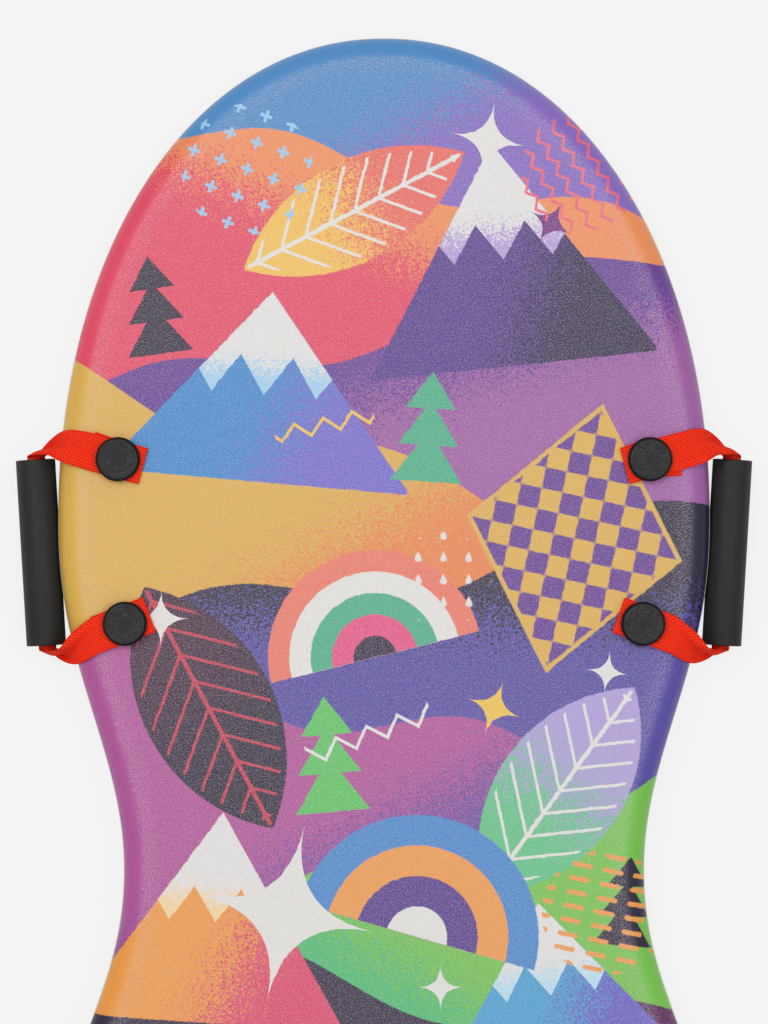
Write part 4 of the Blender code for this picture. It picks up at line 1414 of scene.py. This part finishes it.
def thick_strip(rows, mirror):
    """A closed strip: the grid offset half a thickness to each side, with slightly thinner edges.

    The normal is the cross product of the steps along and across the grid.
    """
    rows = rows * mirror
    step_along = np.gradient(rows, axis=0)
    step_across = np.gradient(rows, axis=1)
    normal = np.cross(step_along, step_across)
    normal /= np.linalg.norm(normal, axis=-1)[..., None]
    edge = np.abs(ACROSS[0]) / (WEBBING_WIDTH / 2)
    outer = np.clip((edge - EDGE_START) / (1 - EDGE_START), 0, 1)
    half = (WEBBING / 2 * np.sqrt(1 - EDGE_THINNING * outer**2))[None, :, None]
    upper, lower = rows + half * normal, rows - half * normal
    ring = np.concatenate([upper, lower[:, ::-1]], axis=1)
    steps = np.linalg.norm(np.diff(rows[:, MIDDLE], axis=0), axis=1)
    run = np.concatenate([[0.0], np.cumsum(steps)]) * 1000
    across = np.concatenate([ACROSS[0], ACROSS[0, ::-1]]) * 1000
    uv = np.stack(np.broadcast_arrays(run[:, None], across[None, :]), axis=-1)
    print("length along the middle:", round(run[-1], 1), "mm")
    return ring, uv


# %% [markdown]
# The places 0.4 mm and 6 mm outside the hinge line, where a bend at the hinge would start and end,
# are worked out below, but nothing bends the strap there or uses them.

# %% The straps
BEND_START, BEND_END = 0.0004, 0.0060


def strap(side, mirror):
    """The webbing of one side as one mesh. Where a bend at the hinge would start and end is worked
    out, but nothing uses it.
    """
    nodes = (f"strap_end_{side}_front", f"strap_end_{side}_rear", f"strap_loop_{side}")
    ring, uv = thick_strip(strip_rows(side), mirror)
    obj = add_mesh(f"webbing_{side}", ring, capped_faces(*ring.shape[:2]), woven, None, uv)
    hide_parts(*nodes)
    near = HINGE_POINT + BEND_START * HINGE_OUT
    far = HINGE_POINT + BEND_END * HINGE_OUT
    tuple(near * mirror)
    tuple(far * mirror)
    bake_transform(obj)


for side, mirror in SIDES.items():
    strap(side, mirror)


# %% [markdown]
# ## The grips
# A grip is a straight tube of charcoal foam rubber, cut square at both ends. Its skin is matte and
# very finely grained, with a few paler scuffs. The paler line along its top comes from the light.


# %% Grip material
def rubber_material():
    """A fine noise for the skin's grain and a broad one for its scuffs."""
    material, tree, shader = new_material("grip_rubber", "202020", 0.55, 0.28)
    vector, _ = texture_space(tree, "Object")
    grain = noise(tree, vector, 1.6, 3.0, 0.65)
    scuffs = noise(tree, vector, 0.09, 3.0, 0.6)
    colour = laid_over(tree, "1B1B1B", "272726", grain.ramp(0.34, 0.68))
    colour = laid_over(tree, colour, "2E2D2C", scuffs.ramp(0.55, 0.8) * 0.35)
    painted(tree, shader, colour, scuffs.ramp(0.3, 0.7) * 0.1 + 0.50)
    bumped(tree, shader, grain, 0.00008)
    return material


rubber = rubber_material()
print("rubber nodes:", len(rubber.node_tree.nodes))

# %% [markdown]
# A cylinder with its edges bevelled would do for the outside. The turned profile also makes the
# bore, through which the webbing runs, and its two small roundings.


# %% The grips
def grip_profile():
    """From the bore over one rounded end, down the outside, over the other end and back inside."""
    half, cut_round = GRIP_LENGTH / 2, 0.0008
    far_end = arc((GRIP_RADIUS - cut_round, half - cut_round), cut_round, 90.0, 0.0, 5)
    near_end = arc((GRIP_RADIUS - cut_round, cut_round - half), cut_round, 0.0, -90.0, 5)
    inner_far = arc((GRIP_BORE + 0.0004, half - 0.0004), 0.0004, 180.0, 90.0, 3)
    inner_near = arc((GRIP_BORE + 0.0004, 0.0004 - half), 0.0004, 270.0, 180.0, 3)
    return np.concatenate([inner_far, far_end, near_end, inner_near])


def grip(name, mirror, body, node):
    """The turned tube laid along the grip's axis: local Z runs along it, and local X points up."""
    rows = turned_grid(grip_profile())
    axis = GRIP_AXIS * mirror
    up = np.array([0.0, 0.0, 1.0])
    side = np.cross(axis, up)
    frame_of_grip = np.stack([up, side, axis])
    points = rows @ frame_of_grip + GRIP_MIDDLE * mirror
    count, around = rows.shape[:2]
    obj = add_mesh(name, points, grid_faces(count, around, True, True).tolist(), rubber, body)
    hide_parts(node)


for side, mirror in SIDES.items():
    grip(f"tube_grip_{side}", mirror, f"{side}_grip", f"grip_{side}")


# %% [markdown]
# ## The foam core
# The core only shows as a hairline between film and base, and inside the cut bores.
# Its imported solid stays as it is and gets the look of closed-cell foam: a Voronoi pattern, whose
# cells meet in thin walls as the bubbles of a foam do.


# %% Foam
def foam_material():
    """Cells by the distance to the nearest of many scattered points."""
    material, tree, shader = new_material("closed_cell_foam", "E6E4DC", 0.88, 0.3)
    vector, _ = texture_space(tree, "Object")
    cells = tree.nodes.new("ShaderNodeTexVoronoi")
    cells.inputs["Scale"].default_value = 0.7
    tree.links.new(vector, cells.inputs["Vector"])
    distance = Wire(tree, cells.outputs["Distance"])
    painted(tree, shader, laid_over(tree, "EFEDE6", "D9D6CB", distance.ramp(0.2, 0.8)))
    bumped(tree, shader, -distance, 0.0002)
    return material


foam = foam_material()
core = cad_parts["foam_core"]
for slot in core.material_slots:
    slot.material = foam
print("core slots:", len(core.material_slots))

# %% [markdown]
# ## The floor
# The photograph's ground is an even pale grey with no horizon. More light on a white floor would
# bleach the board as well. So the camera sees most of the floor as the plain ground colour, and
# the rest as a lit surface, which keeps the object's soft shadow.

# %% Floor
PLAIN_SHARE, HALF_FLOOR, FLOOR_LEVEL = 0.92, 4.0, -0.0002


def floor_material():
    """A mix of plain colour and lit surface, by whether the camera looks at it."""
    material, tree, shader = new_material("pale_floor", "F4F4F4", 0.9, 0.1)
    glow = tree.nodes.new("ShaderNodeEmission")
    glow.inputs["Color"].default_value = linear("F4F4F4")
    glow.inputs["Strength"].default_value = 1.0
    path = tree.nodes.new("ShaderNodeLightPath")
    seen = Wire(tree, path.outputs["Is Camera Ray"]) * PLAIN_SHARE
    mixed = tree.nodes.new("ShaderNodeMixShader")
    tree.links.new(seen.socket, mixed.inputs["Fac"])
    tree.links.new(shader.outputs[0], mixed.inputs[1])
    tree.links.new(glow.outputs[0], mixed.inputs[2])
    tree.links.new(mixed.outputs[0], tree.nodes["Material Output"].inputs["Surface"])
    return material


signs = np.array([(-1, -1), (1, -1), (1, 1), (-1, 1)])
corners = np.hstack([signs * HALF_FLOOR, np.full((4, 1), FLOOR_LEVEL)])
floor = add_mesh("floor", corners, [(0, 1, 2, 3)], floor_material(), None)
